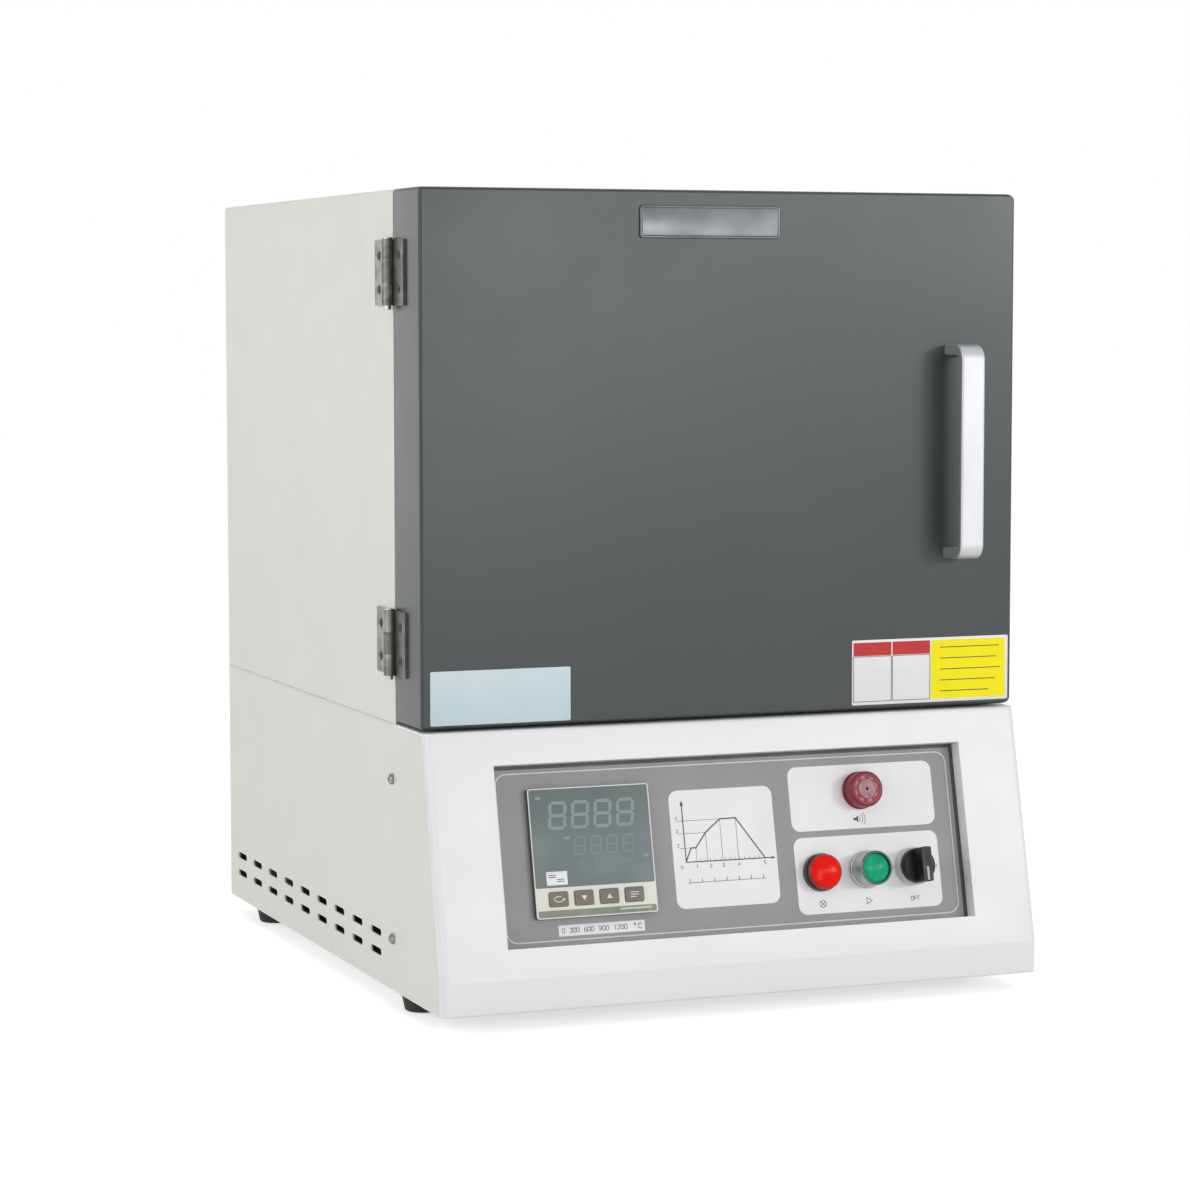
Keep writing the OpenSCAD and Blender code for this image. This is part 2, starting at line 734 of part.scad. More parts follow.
// A portal of angle section that the side screws bite into and the chamber's front edge stands over.
module support_frame() color("#8f9294") in_cabinet() difference() {
  post_h = base_h - case_t - floor_t;
  translate([-half_w + case_t, screw_y - angle_w / 2, bottom_z + floor_t])
    cube([cabinet_w - 2 * case_t, angle_w, post_h]);
  translate([-half_w + case_t + angle_w, screw_y - angle_w, bottom_z])
    cube([cabinet_w - 2 * (case_t + angle_w), 2 * angle_w, base_h - case_t - angle_w]);
  translate([-half_w + case_t + floor_t, screw_y - angle_w / 2 - cut, bottom_z])
    cube([cabinet_w - 2 * (case_t + floor_t), angle_w - floor_t + cut, base_h - case_t - floor_t]);
  for (side = [-1, 1], z = side_screw_zs) translate([0, screw_y, bottom_z + z])
    rotate([0, side * 90, 0]) cylinder(r = side_screw_r + slip, h = half_w);
}

// A rubber foot with its stud, under place i.
module foot(i) color("#222325") translate([foot_places[i].x, foot_places[i].y + mouth_y, 0]) {
  turned(foot_sole_r, 0, foot_r, foot_h, foot_rim, 0);
  cylinder(r = foot_stud_r, h = foot_h + floor_t + foot_nut_h);
}

module side_screws() color("#a9abad") for (side = [-1, 1], z = side_screw_zs)
  on_side(side) in_cabinet() translate([half_w, screw_y, bottom_z + z]) rotate([0, 90, 0]) {
    cylinder(r = side_head_r, h = side_head_h * 0.6);
    cylinder(r = side_head_r * 0.8, h = side_head_h);
    translate([0, 0, -10]) cylinder(r = side_screw_r, h = 10 + eps);
  }

// Control panel.

module panel_plate() color("#8e8f92") on_panel() translate([0, 0, -panel_t]) linear_extrude(panel_t)
  difference() {
    square([recess_w + 2 * panel_edge, recess_h + 2 * panel_edge], center = true);
    translate([-controller_x, controller_y]) square(body_w + 2 * slip, center = true);
    for (at = device_places) translate(at) circle(hole_r);
  }

function key_at(i) = [(i - 1.5) * key_pitch, key_row];

module controller_case() color("#dddfd4") on_panel([-controller_x, controller_y]) difference() {
  union() {
    linear_extrude(bezel_h) rounded_rect(bezel_w, bezel_w, 2);
    translate([0, 0, -body_d]) linear_extrude(body_d + eps) square(body_w, center = true);
  }
  translate([0, window_up, bezel_h - window_t]) linear_extrude(window_t + cut)
    square([window_w + 2 * slip, window_h + 2 * slip], center = true);
  for (i = [0 : 3]) translate(key_at(i)) {
    translate([0, 0, bezel_h - key_sink]) linear_extrude(key_sink + cut)
      rounded_rect(key_w + 2 * slip, key_h + 2 * slip, 1.5);
    translate([0, 0, -stem_drop - key_travel - slip])
      cylinder(r = key_stem_r + run_gap, h = bezel_h + stem_drop);
  }
}

module controller_window() color([0.42, 0.5, 0.5]) on_panel([-controller_x, controller_y + window_up])
  translate([0, 0, bezel_h - window_t]) linear_extrude(window_t) rounded_rect(window_w, window_h, 1);

// A key that slides in its pocket, i from the left.
module key(i) color("#6e6862") on_panel([key_at(i).x - controller_x, key_at(i).y + controller_y]) {
  translate([0, 0, bezel_h + key_proud - key_t]) linear_extrude(key_t) rounded_rect(key_w, key_h, 1.2);
  translate([0, 0, -stem_drop]) cylinder(r = key_stem_r, h = bezel_h + stem_drop);
}

// The threaded barrel that a device sinks through the panel, hollow for its works.
module barrel(bore_r) translate([0, 0, -barrel_l]) difference() {
  cylinder(r = barrel_r, h = barrel_l + 1);
  translate([0, 0, -cut]) cylinder(r = bore_r, h = barrel_l + 1 + 2 * cut);
}

module lamp_bezel() color("#4a3230") on_panel(lamp_at) {
  barrel(stem_r + run_gap);
  difference() {
    cylinder(r = collar_r, h = lamp_collar_h);
    translate([0, 0, -cut]) cylinder(r = stem_r + run_gap, h = lamp_collar_h + 2 * cut);
  }
}

module lamp_lens() color("#e8281e") on_panel(lamp_at) {
  turned(collar_r - 1, lamp_collar_h, collar_r - 1, lamp_h, 0, 2);
  translate([0, 0, -stem_in]) cylinder(r = stem_r, h = stem_in + lamp_collar_h + cut);
}

module buzzer_body() color("#5c2430") on_panel(buzzer_at) {
  barrel(stem_r + run_gap);
  difference() {
    cylinder(r = collar_r, h = buzzer_collar_h);
    translate([0, 0, -cut]) cylinder(r = stem_r + run_gap, h = buzzer_collar_h + 2 * cut);
  }
}

// The buzzer's cap: a cup with a ring of sound slots round a middle disc with one hole.
module buzzer_cap() color("#aa3246") on_panel(buzzer_at) translate([0, 0, buzzer_collar_h]) {
  cap_h = buzzer_h - buzzer_collar_h;
  cap_r = collar_r - 0.8;
  difference() {
    turned(cap_r, 0, cap_r, cap_h, 0, 2);
    translate([0, 0, -cut]) cylinder(r = cap_r - 2.5, h = cap_h - 1);
    translate([0, 0, cap_h - 3]) cylinder(r = 1, h = 4);
    for (i = [0 : 7]) rotate(i * 45) translate([0, 0, cap_h - 3]) rotate_extrude(angle = 28)
      translate([slot_r, 0]) square([slot_w, 4]);
  }
}

module start_bezel() color("#b7babc") on_panel(start_at) {
  barrel(stem_r + run_gap);
  difference() {
    union() {
      cylinder(r = collar_r, h = guard_collar_h);
      rotate_extrude() polygon([
        [0, 0], [collar_r - 0.4, 0], [collar_r - 0.4, guard_collar_h],
        [guard_r, guard_taper], [guard_r, guard_h], [0, guard_h]
      ]);
    }
    translate([0, 0, -cut]) cylinder(r = stem_r + run_gap, h = guard_h + 2 * cut);
    translate([0, 0, button_floor]) cylinder(r = button_r + slip, h = guard_h);
  }
}

module start_button() color("#1fa070") on_panel(start_at) {
  turned(button_r, button_floor + button_travel + thrust_gap, button_r, guard_h - 0.5, 0, 1);
  translate([0, 0, -2 * stem_in]) cylinder(r = stem_r, h = 3 * stem_in + button_travel);
}

module selector_collar() color("#8f9193") on_panel(selector_at) {
  barrel(selector_stem_r + run_gap);
  difference() {
    cylinder(r = collar_r, h = selector_collar_h);
    translate([0, 0, -cut]) cylinder(r = selector_stem_r + run_gap, h = selector_collar_h + 2 * cut);
  }
}

// The selector: a disc with a waisted grip across it.
module selector_knob() color("#232325") on_panel(selector_at) {
  disc_z = selector_collar_h + thrust_gap;
  turned(selector_disc_r, disc_z, selector_disc_r, disc_z + selector_disc_h, 0, 1.5);
  translate([0, 0, disc_z + selector_disc_h - 1]) intersection() {
    cylinder(r = selector_disc_r, h = selector_grip_h + 1);
    linear_extrude(selector_grip_h + 1) rounded_rect(selector_grip_w, 3 * selector_disc_r, 1);
  }
  translate([0, 0, -selector_stem_l]) cylinder(r = selector_stem_r, h = selector_stem_l + disc_z + cut);
}

module ring_nuts() color("#3b3d40") for (at = device_places) on_panel(at)
  translate([0, 0, -panel_t - ring_nut_h]) difference() {
    cylinder(r = collar_r, h = ring_nut_h);
    translate([0, 0, -cut]) cylinder(r = barrel_r + run_gap, h = ring_nut_h + 2 * cut);
  }

module contact_blocks() color("#34363a") for (at = device_places) on_panel(at)
  translate([0, 0, -barrel_l - block_size.z / 2]) cube(block_size, center = true);

// Cooling fan.

module fan_frame() color("#2a2b2d") at_fan() difference() {
  union() {
    difference() {
      linear_extrude(fan_d) rounded_rect(fan_w, fan_w, frame_corner_r);
      translate([0, 0, -cut]) cylinder(r = duct_r, h = fan_d + 2 * cut);
    }
    cylinder(r = hub_r, h = motor_h);
    for (i = [0 : 3]) rotate(45 + i * 90) translate([0, -strut_w / 2, 0])
      cube([duct_r + cut, strut_w, motor_h]);
  }
  translate([0, 0, -cut]) cylinder(r = shaft_r + run_gap, h = motor_h + 2 * cut);
  for (x = [-1, 1], y = [-1, 1]) translate([x * fan_hole, y * fan_hole, -cut])
    cylinder(r = fan_screw_r, h = fan_d + 2 * cut);
}

module fan_rotor() color("#1e1f21") at_fan() {
  translate([0, 0, 0.5]) cylinder(r = shaft_r, h = rotor_end - 1);
  translate([0, 0, rotor_start]) cylinder(r = hub_r, h = rotor_end - rotor_start);
  blade_h = rotor_end - rotor_start - 2;
  for (i = [0 : blade_count - 1]) rotate(i * 360 / blade_count) intersection() {
    translate([0, 0, rotor_start + 1 + blade_h / 2]) rotate([blade_pitch, 0, 0])
      translate([hub_r - 1, -blade_t / 2, -fan_d]) cube([blade_r, blade_t, 2 * fan_d]);
    translate([0, 0, rotor_start + 1]) cylinder(r = blade_r, h = blade_h);
  }
}

// The guard over the fan: flat ribs from eyelet to hub, with wire rings let into them.
module fan_guard() color("#b9babb") at_fan() translate([0, 0, fan_d + case_t]) {
  reach = fan_hole * sqrt(2);
  for (i = [0 : 3]) rotate(45 + i * 90) {
    translate([guard_hub_r - cut, -guard_wire_r, 0])
      cube([reach - guard_hub_r - 3 + cut, 2 * guard_wire_r, eyelet_h]);
    translate([reach, 0, 0]) difference() {
      cylinder(r = eyelet_r, h = eyelet_h);
      translate([0, 0, -cut]) cylinder(r = fan_screw_r, h = eyelet_h + 2 * cut);
    }
  }
  cylinder(r = guard_hub_r, h = eyelet_h);
  for (r = guard_rings) translate([0, 0, guard_rise])
    rotate_extrude() translate([r, 0]) circle(guard_wire_r);
}

// Rear fittings.

module cable_gland() color("#2a2b2d") in_cabinet() translate([-gland_x, cabinet_d, bottom_z + gland_high])
  rotate([-90, 0, 0]) difference() {
    union() {
      translate([0, 0, -case_t - thread_l]) cylinder(r = thread_r, h = case_t + thread_l + cut);
      translate([0, 0, -case_t - nut_h]) cylinder(r = hex_r, h = nut_h, $fn = 6);
      cylinder(r = hex_r, h = hex_h, $fn = 6);
      turned(thread_r + 1.5, hex_h - cut, thread_r, gland_out, 0, 2);
    }
    translate([0, 0, -case_t - thread_l - cut])
      cylinder(r = gland_bore_r, h = gland_out + case_t + thread_l + 2 * cut);
  }

// A finned heat sink on the floor pan, with the power relay on its flat side.
module heat_sink() color("#9a9c9d") in_cabinet() translate([sink_x, sink_y, bottom_z + floor_t]) {
  cube([sink_t, sink_d, sink_h]);
  for (i = [0 : fins - 1]) translate([sink_t - cut, i * (sink_d - fin_t) / (fins - 1), 0])
    cube([fin_l + cut, fin_t, sink_h]);
}

module power_relay() color("#34363a") in_cabinet() translate([
  sink_x - relay_size.x,
  sink_y + (sink_d - relay_size.y) / 2,
  bottom_z + floor_t + (sink_h - relay_size.z) / 2
]) cube(relay_size);

// Door.

// The door's outline seen from the front, set in by i.
module door_outline(i) rounded([
  [-half_w + i, door_lift + i], [half_w - i, door_lift + i],
  [half_w - i, cabinet_h - i], [-half_w + i, cabinet_h - i]
], [hinge_corner_r - i, free_corner_r - i, free_corner_r - i, hinge_corner_r - i]);

// The door's bent body, set in by i and open towards the cabinet: three outlines run through each other.
module door_body(i) intersection() {
  translate([0, door_front - cut, 0]) along_y(door_d + 2 * cut) door_outline(i);
  along_x(cabinet_w + 2 * cut) rounded([
    [door_front + i, door_lift + i], [cut, door_lift + i],
    [cut, cabinet_h - i], [door_front + i, cabinet_h - i]
  ], [door_bend_r - i, 0, 0, door_bend_r - i]);
  translate([0, 0, door_lift - cut]) linear_extrude(cabinet_h + 2 * cut) rounded([
    [-half_w + i, door_front + i], [half_w - i, door_front + i], [half_w - i, cut], [-half_w + i, cut]
  ], [door_bend_r - i, door_bend_r - i, 0, 0]);
}

module door_shell() color("#6b7173") in_cabinet() difference() {
  door_body(0);
  door_body(door_t);
  translate([-half_w - cut, door_back, 0]) cube([cabinet_w + 2 * cut, door_gap + 2 * cut, cabinet_h + cut]);
  handle_screw_axes() cylinder(r = handle_screw_r + slip, h = 2 * door_t + cut);
}

// Places of the handle's two screws: on the door's inner face, pointing out.
module handle_screw_axes() for (way = [-1, 1])
  translate([handle_x, door_front + door_t, door_mid_z + way * handle_screw_up])
    rotate([90, 0, 0]) translate([0, 0, -cut / 2]) children();

module door_liner() color("#b9babb") in_cabinet() translate([0, liner_front, 0]) along_y(liner_t)
  difference() {
    door_outline(door_t + slip);
    translate([0, chamber_z]) square([plug_w, plug_h] + 2 * soft_gap * [1, 1], center = true);
  }

module door_plug() color("#efece4") in_cabinet() difference() {
  union() {
    translate([-half_w + door_t + 2, door_front + door_t + soft_gap, door_lift + door_t + 2])
      cube([
        cabinet_w - 2 * (door_t + 2), door_d - door_t - soft_gap - liner_t,
        cabinet_h - door_lift - 2 * (door_t + 2)
      ]);
    translate([-plug_w / 2, liner_front - cut, chamber_z - plug_h / 2])
      cube([plug_w, plug_in - liner_front + cut, plug_h]);
  }
  handle_screw_axes() translate([0, 0, -screw_head_h - cut])
    cylinder(r = screw_head_r + cut, h = screw_head_h + 3 * cut);
}

module door_gasket() color("#ddd6c4") in_cabinet() translate([0, door_back, 0]) along_y(gasket_t)
  translate([0, chamber_z]) difference() {
    square([chamber_w, chamber_h] + 2 * (gasket_in + gasket_w) * [1, 1], center = true);
    square([chamber_w, chamber_h] + 2 * gasket_in * [1, 1], center = true);
  }

module handle() color("#d9dbdd") in_cabinet() translate([handle_x, door_front, door_mid_z]) difference() {
  along_x(handle_w) difference() {
    rounded([
      [-handle_out, -handle_l / 2], [0, -handle_l / 2],
      [0, handle_l / 2], [-handle_out, handle_l / 2]
    ], [handle_bend_r, 0, 0, handle_bend_r]);
    rounded([
      [-handle_out + handle_t, -handle_l / 2 + handle_leg], [cut, -handle_l / 2 + handle_leg],
      [cut, handle_l / 2 - handle_leg], [-handle_out + handle_t, handle_l / 2 - handle_leg]
    ], [handle_bend_r - handle_t, 0, 0, handle_bend_r - handle_t]);
  }
  for (way = [-1, 1]) translate([0, cut, way * handle_screw_up]) rotate([90, 0, 0])
    cylinder(r = handle_screw_r + run_gap, h = screw_l + cut);
}

module handle_screws() color("#a9abad") in_cabinet() handle_screw_axes() translate([0, 0, cut / 2]) {
  translate([0, 0, -screw_head_h]) cylinder(r = screw_head_r, h = screw_head_h);
  translate([0, 0, -eps]) cylinder(r = handle_screw_r, h = screw_l + eps);
}

outer_casing();
rear_panel();
face_plate();
inner_shell();
insulation_floor();
insulation_roof();
insulation_side(-1);  // insulation_left
insulation_side(1);  // insulation_right
insulation_rear();
heater(-1);  // heater_left
heater(1);  // heater_right
hearth_plate();
thermocouple();
door_catch();
cabinet_leaf(hinge_zs[1]);  // cabinet_leaf_upper
cabinet_leaf(hinge_zs[0]);  // cabinet_leaf_lower
hinge_pins();
fascia();
base_side(-1);  // base_side_left
base_side(1);  // base_side_right
deck_plate();
floor_pan();
base_rear_panel();
support_frame();
foot(0);  // foot_front_left
foot(2);  // foot_front_right
foot(1);  // foot_rear_left
foot(3);  // foot_rear_right
side_screws();
panel_plate();
controller_case();
controller_window();
lamp_bezel();
lamp_lens();
buzzer_body();
buzzer_cap();
start_bezel();
selector_collar();
ring_nuts();
contact_blocks();
fan_frame();
fan_guard();
cable_gland();
heat_sink();
power_relay();
door_shell();
door_liner();
door_plug();
door_gasket();
handle();
handle_screws();
door_leaf(hinge_zs[1]);  // door_leaf_upper
door_leaf(hinge_zs[0]);  // door_leaf_lower
start_button();
selector_knob();
key(0);  // key_1
key(1);  // key_2
key(2);  // key_3
key(3);  // key_4
fan_rotor();
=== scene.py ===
import json
import math
import bmesh
import bpy
import numpy as np
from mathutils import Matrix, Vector, geometry


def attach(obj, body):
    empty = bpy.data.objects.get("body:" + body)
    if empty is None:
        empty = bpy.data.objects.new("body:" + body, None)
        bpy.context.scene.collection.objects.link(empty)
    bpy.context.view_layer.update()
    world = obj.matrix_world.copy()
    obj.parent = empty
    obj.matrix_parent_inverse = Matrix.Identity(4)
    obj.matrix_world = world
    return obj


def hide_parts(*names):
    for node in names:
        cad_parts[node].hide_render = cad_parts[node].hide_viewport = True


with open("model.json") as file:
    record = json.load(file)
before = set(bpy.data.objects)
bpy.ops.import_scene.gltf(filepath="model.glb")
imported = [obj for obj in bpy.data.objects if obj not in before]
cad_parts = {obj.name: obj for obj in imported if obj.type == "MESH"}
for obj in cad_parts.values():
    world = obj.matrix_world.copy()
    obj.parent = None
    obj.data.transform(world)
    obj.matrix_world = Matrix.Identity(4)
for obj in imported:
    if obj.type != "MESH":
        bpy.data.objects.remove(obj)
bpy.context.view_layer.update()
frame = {"nodes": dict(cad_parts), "record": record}
nodes = frame["nodes"]
scene = bpy.context.scene
mm = 0.001
bodyOf = {node: body for body, members in frame["record"]["behaviour"]["bodies"].items() for node in members}
print("frame loaded:", len(nodes), "nodes")


def tone(r, g, b):
    # 0-255 screen colour to linear light: ((c + 0.055) / 1.055) ** 2.4, or c / 12.92 near black
    c = np.array([r, g, b]) / 255
    light = np.where(c <= 0.04045, c / 12.92, ((c + 0.055) / 1.055) ** 2.4)
    return (*map(float, light), 1.0)


def addNode(tree, kind, inputs=None, **settings):
    # a new shader node; an input is linked where its value is another node's output, and set otherwise
    node = tree.nodes.new(kind)
    for key, value in settings.items():
        setattr(node, key, value)
    for key, value in (inputs or {}).items():
        if hasattr(value, "is_output"):
            tree.links.new(value, node.inputs[key])
        else:
            node.inputs[key].default_value = value
    return node


def rangeOf(tree, value, low, high, start, end):
    # value from low..high to start..end, clamped
    return addNode(tree, "ShaderNodeMapRange", {"Value": value, "From Min": low, "From Max": high,
                                                "To Min": start, "To Max": end}).outputs["Result"]


def blendOf(tree, share, first, second):
    # first where share is 0, second where it is 1
    return addNode(tree, "ShaderNodeMix", {0: share, 6: first, 7: second}, data_type="RGBA").outputs[2]


def mathOf(tree, operation, first, second):
    # first and second taken together by the operation
    return addNode(tree, "ShaderNodeMath", {0: first, 1: second}, operation=operation).outputs[0]


def noiseOf(tree, where, size, detail, **more):
    # noise whose blobs are about size mm across
    return addNode(tree, "ShaderNodeTexNoise", {"Vector": where, "Scale": 1000 / size, "Detail": detail,
                                                **more}).outputs["Fac"]


fleckLow, fleckHigh, fleckShare = 0.62, 0.74, 0.6  # flecks show where their noise passes these
edgePatchLow, edgePatchHigh, edgePatchLeast = 0.42, 0.62, 0.15  # patches inside which the edge tone is stronger
flatCos, edgeCos = 0.99, 0.8  # between a face's normal and the rolled one, where the edge tone starts and is full
noiseLow, noiseHigh = 0.3, 0.7  # where most of a noise's values lie
shadeShare = 0.88  # a missing second tone is the base times this


def makeFinish(name, base, second=None, cloud=6, share=0.5, grain=0.5, depth=0.01, stretch=(1, 1, 1), grainDetail=3.0,
               rough=0.34, spread=0.08, smudge=35, metal=0.0, coat=0.0, coatRough=0.2, specular=0.5, sheen=0.0,
               edgeWearAndShade=None, weave=None, speck=None):
    # colour = mix(base, second, clouds); roughness = rough +- spread * patches; bump = grain * depth
    # tones are 0-255 screen colours, sizes of cloud, grain, smudge, weave and speck are in mm
    # edgeWearAndShade = share, tone and width of the edge tone, speck = a fleck's size and tone; a light edge tone is
    # scuffing, the door paint's dark one is painted shade along its bends
    mat = bpy.data.materials.new(name)
    mat.use_nodes = True
    tree = mat.node_tree
    shader = tree.nodes["Principled BSDF"]
    base = tone(*base)
    second = tone(*second) if second else tuple(shadeShare * c for c in base[:3]) + (1.0,)
    where = addNode(tree, "ShaderNodeTexCoord").outputs["Object"]
    clouds = noiseOf(tree, where, cloud, 3.0)
    colour = blendOf(tree, rangeOf(tree, clouds, noiseLow, noiseHigh, 0.0, share), base, second)
    if speck:  # fine flecks of a third tone, where a noise peaks
        size, hue = speck
        flecks = rangeOf(tree, noiseOf(tree, where, size, 1.0), fleckLow, fleckHigh, 0.0, fleckShare)
        colour = blendOf(tree, flecks, colour, tone(*hue))
    stretched = addNode(tree, "ShaderNodeMapping", {"Vector": where, "Scale": stretch}).outputs["Vector"]
    height = noiseOf(tree, stretched, grain, grainDetail)
    if weave:  # two crossed waves, so threads go over and under
        waves = [addNode(tree, "ShaderNodeTexWave", {"Vector": where, "Scale": 1000 / weave / 6,
                                                     "Distortion": 0.6}, bands_direction=way).outputs["Fac"]
                 for way in ("X", "Z")]
        height = mathOf(tree, "MULTIPLY", *waves)
        # darker where the weave is low: painted shade in the hollows between threads
        colour = blendOf(tree, rangeOf(tree, height, 0.0, 0.6, 0.35, 0.0), colour, second)
    patches = noiseOf(tree, where, smudge, 4.0, Roughness=0.6)
    roughness = rangeOf(tree, patches, noiseLow, noiseHigh, rough - spread, rough + spread)
    bump = addNode(tree, "ShaderNodeBump", {"Height": height, "Distance": depth * mm, "Strength": 1.0})
    if edgeWearAndShade:  # edges: where a rolled normal leaves the face's own
        edgeShare, hue, width = edgeWearAndShade
        rolled = addNode(tree, "ShaderNodeBevel", {"Radius": width * mm}, samples=4)
        own = addNode(tree, "ShaderNodeNewGeometry").outputs["Normal"]
        along = addNode(tree, "ShaderNodeVectorMath", {0: rolled.outputs["Normal"], 1: own},
                        operation="DOT_PRODUCT").outputs["Value"]
        edge = rangeOf(tree, along, flatCos, edgeCos, 0.0, edgeShare)
        wornOrShadedEdge = mathOf(tree, "MULTIPLY", edge, rangeOf(tree, patches, edgePatchLow, edgePatchHigh, edgePatchLeast, 1.0))
        colour = blendOf(tree, wornOrShadedEdge, colour, tone(*hue))
    for socket, value in (("Base Color", colour), ("Roughness", roughness), ("Normal", bump.outputs["Normal"])):
        tree.links.new(value, shader.inputs[socket])
    for socket, value in (("Metallic", metal), ("Coat Weight", coat), ("Coat Roughness", coatRough),
                          ("Specular IOR Level", specular), ("Sheen Weight", sheen)):
        shader.inputs[socket].default_value = value
    mat.diffuse_color = base


makeFinish("casingPaint", (216, 217, 210), (211, 213, 201), cloud=180, grain=1.1, depth=0.03, rough=0.42, spread=0.05,
    edgeWearAndShade=(0.25, (238, 239, 233), 1.2))
makeFinish("frontPaint", (232, 232, 234), (228, 228, 231), cloud=160, grain=1.1, depth=0.025, rough=0.38, spread=0.05,
    edgeWearAndShade=(0.2, (246, 246, 247), 1.2))
# the door paint's dark edge tone is painted shade along the door's rolled edges and bends
makeFinish("doorPaint", (47, 54, 56), (46, 55, 53), cloud=140, grain=0.9, depth=0.02, speck=(1.4, (57, 60, 62)),
    rough=0.33, spread=0.02, smudge=90, edgeWearAndShade=(0.8, (26, 28, 30), 2.6))
# a darker tone for the seam line: painted shade where casing and base meet
makeFinish("seamGrime", (168, 168, 158), (204, 205, 196), cloud=26, share=1.0, grain=0.8, rough=0.7)
makeFinish("framePaint", (143, 146, 148), (128, 131, 134), cloud=60, grain=0.8, depth=0.03, rough=0.6)
# the control plate's dark paint, seen only where the film leaves it bare: painted shadow of the recess edges
makeFinish("panelPaint", (68, 68, 70), (58, 58, 61), cloud=30, grain=0.6, rough=0.55)
makeFinish("sheetSteel", (160, 161, 163), (150, 151, 154), cloud=90, grain=0.35, depth=0.004, stretch=(1, 1, 24),
    rough=0.48, spread=0.05, smudge=60, metal=1.0)
makeFinish("hingeSteel", (142, 142, 139), (84, 84, 81), cloud=11, share=0.9, grain=0.3, depth=0.006,
    stretch=(1, 1, 0.3), rough=0.36, spread=0.1, smudge=14, metal=1.0, edgeWearAndShade=(0.5, (206, 206, 203), 0.5))
# a darker copy of the hinge steel for the door's leaves: painted shade
makeFinish("leafSteel", (120, 120, 116), (88, 88, 85), cloud=10, share=0.9, grain=0.3, depth=0.006,
    stretch=(1, 1, 0.3), rough=0.42, smudge=12, metal=1.0)
makeFinish("screwSteel", (190, 191, 190), (150, 151, 150), cloud=5, grain=0.4, depth=0.004, rough=0.24, spread=0.1,
    smudge=6, metal=1.0)
# dark blotches on the side screw heads: painted shade standing in for the shading on their domes
makeFinish("screwWorn", (156, 156, 153), (92, 92, 90), cloud=2.6, share=0.9, grain=0.4, depth=0.006, rough=0.3,
    spread=0.12, smudge=3, metal=1.0)
makeFinish("screwDark", (70, 70, 68), (46, 46, 45), cloud=5, grain=0.4, depth=0.004, rough=0.3, smudge=6, metal=1.0)
makeFinish("handleMetal", (187, 188, 190), (181, 182, 185), cloud=40, grain=0.28, depth=0.0015, stretch=(1, 1, 0.04),
    rough=0.55, spread=0.04, smudge=60, metal=1.0)
makeFinish("sinkAluminium", (170, 172, 174), cloud=60, grain=0.4, stretch=(1, 1, 20), rough=0.5, metal=1.0)
makeFinish("fibreBoard", (238, 234, 222), (224, 214, 192), cloud=45, share=0.7, grain=1.6, depth=0.45,
    stretch=(1, 0.35, 1), grainDetail=6.0, speck=(2.2, (196, 184, 160)), rough=0.92, spread=0.04, specular=0.2)
makeFinish("gasketTape", (222, 214, 194), (176, 166, 144), cloud=12, grain=0.8, depth=0.35, weave=1.6, rough=0.9,
    spread=0.04, specular=0.2, sheen=0.3)
makeFinish("heaterWire", (118, 110, 104), (84, 74, 68), cloud=8, grain=0.4, depth=0.02, rough=0.55, spread=0.12,
    smudge=9, metal=0.7)
makeFinish("hearthCeramic", (206, 194, 168), (178, 160, 130), cloud=38, share=0.8, grain=1.2, depth=0.12,
    speck=(1.8, (148, 128, 100)), rough=0.8)
makeFinish("sheathCeramic", (232, 226, 210), (206, 192, 166), cloud=14, grain=0.7, depth=0.02, rough=0.45)
makeFinish("footRubber", (38, 38, 39), (26, 26, 27), depth=0.05, rough=0.75, smudge=8)
makeFinish("bezelPlastic", (221, 223, 212), (211, 213, 201), cloud=30, grain=0.45, depth=0.015, rough=0.5,
    edgeWearAndShade=(0.2, (236, 237, 230), 0.6))
makeFinish("displayGlass", (112, 125, 118), (102, 113, 119), cloud=60, share=1.0, grain=2.0, depth=0.0006,
    spread=0.06, specular=0.25)
makeFinish("keyRubber", (116, 107, 100), (102, 94, 88), cloud=7, grain=0.4, depth=0.02, rough=0.55,
    edgeWearAndShade=(0.6, (74, 66, 60), 0.9))
makeFinish("darkPlastic", (36, 36, 38), (27, 27, 29), cloud=12, depth=0.012, rough=0.42, spread=0.1, smudge=9)
makeFinish("knobPlastic", (26, 26, 28), (18, 18, 20), cloud=10, grain=0.4, depth=0.006, smudge=7, specular=0.2,
    edgeWearAndShade=(0.3, (80, 80, 82), 0.5))
makeFinish("lensRed", (238, 26, 18), (214, 16, 12), cloud=9, grain=1.2, depth=0.02, rough=0.16, spread=0.04,
    coat=0.03, coatRough=0.06, specular=0.06)
# a darker copy of the red lens for its side: painted shade
makeFinish("lensDeep", (96, 26, 22), (62, 18, 16), grain=1.0, rough=0.22)
makeFinish("bezelDark", (58, 44, 42), (40, 30, 29), rough=0.3)
makeFinish("buzzerPlastic", (138, 36, 50), (104, 24, 36), share=0.8, depth=0.015, smudge=8, specular=0.3,
    edgeWearAndShade=(0.5, (186, 84, 96), 0.6))
makeFinish("buzzerPale", (178, 142, 147), (132, 84, 92), cloud=3, share=0.9, depth=0.02, rough=0.45, specular=0.3)
makeFinish("buzzerMesh", (226, 132, 142), (196, 96, 108), cloud=3, grain=0.3, depth=0.03, rough=0.6)
makeFinish("buttonGreen", (30, 182, 132), (14, 146, 100), cloud=12, share=0.9, grain=1.0, rough=0.2, spread=0.05,
    coat=0.03, coatRough=0.08, specular=0.06)
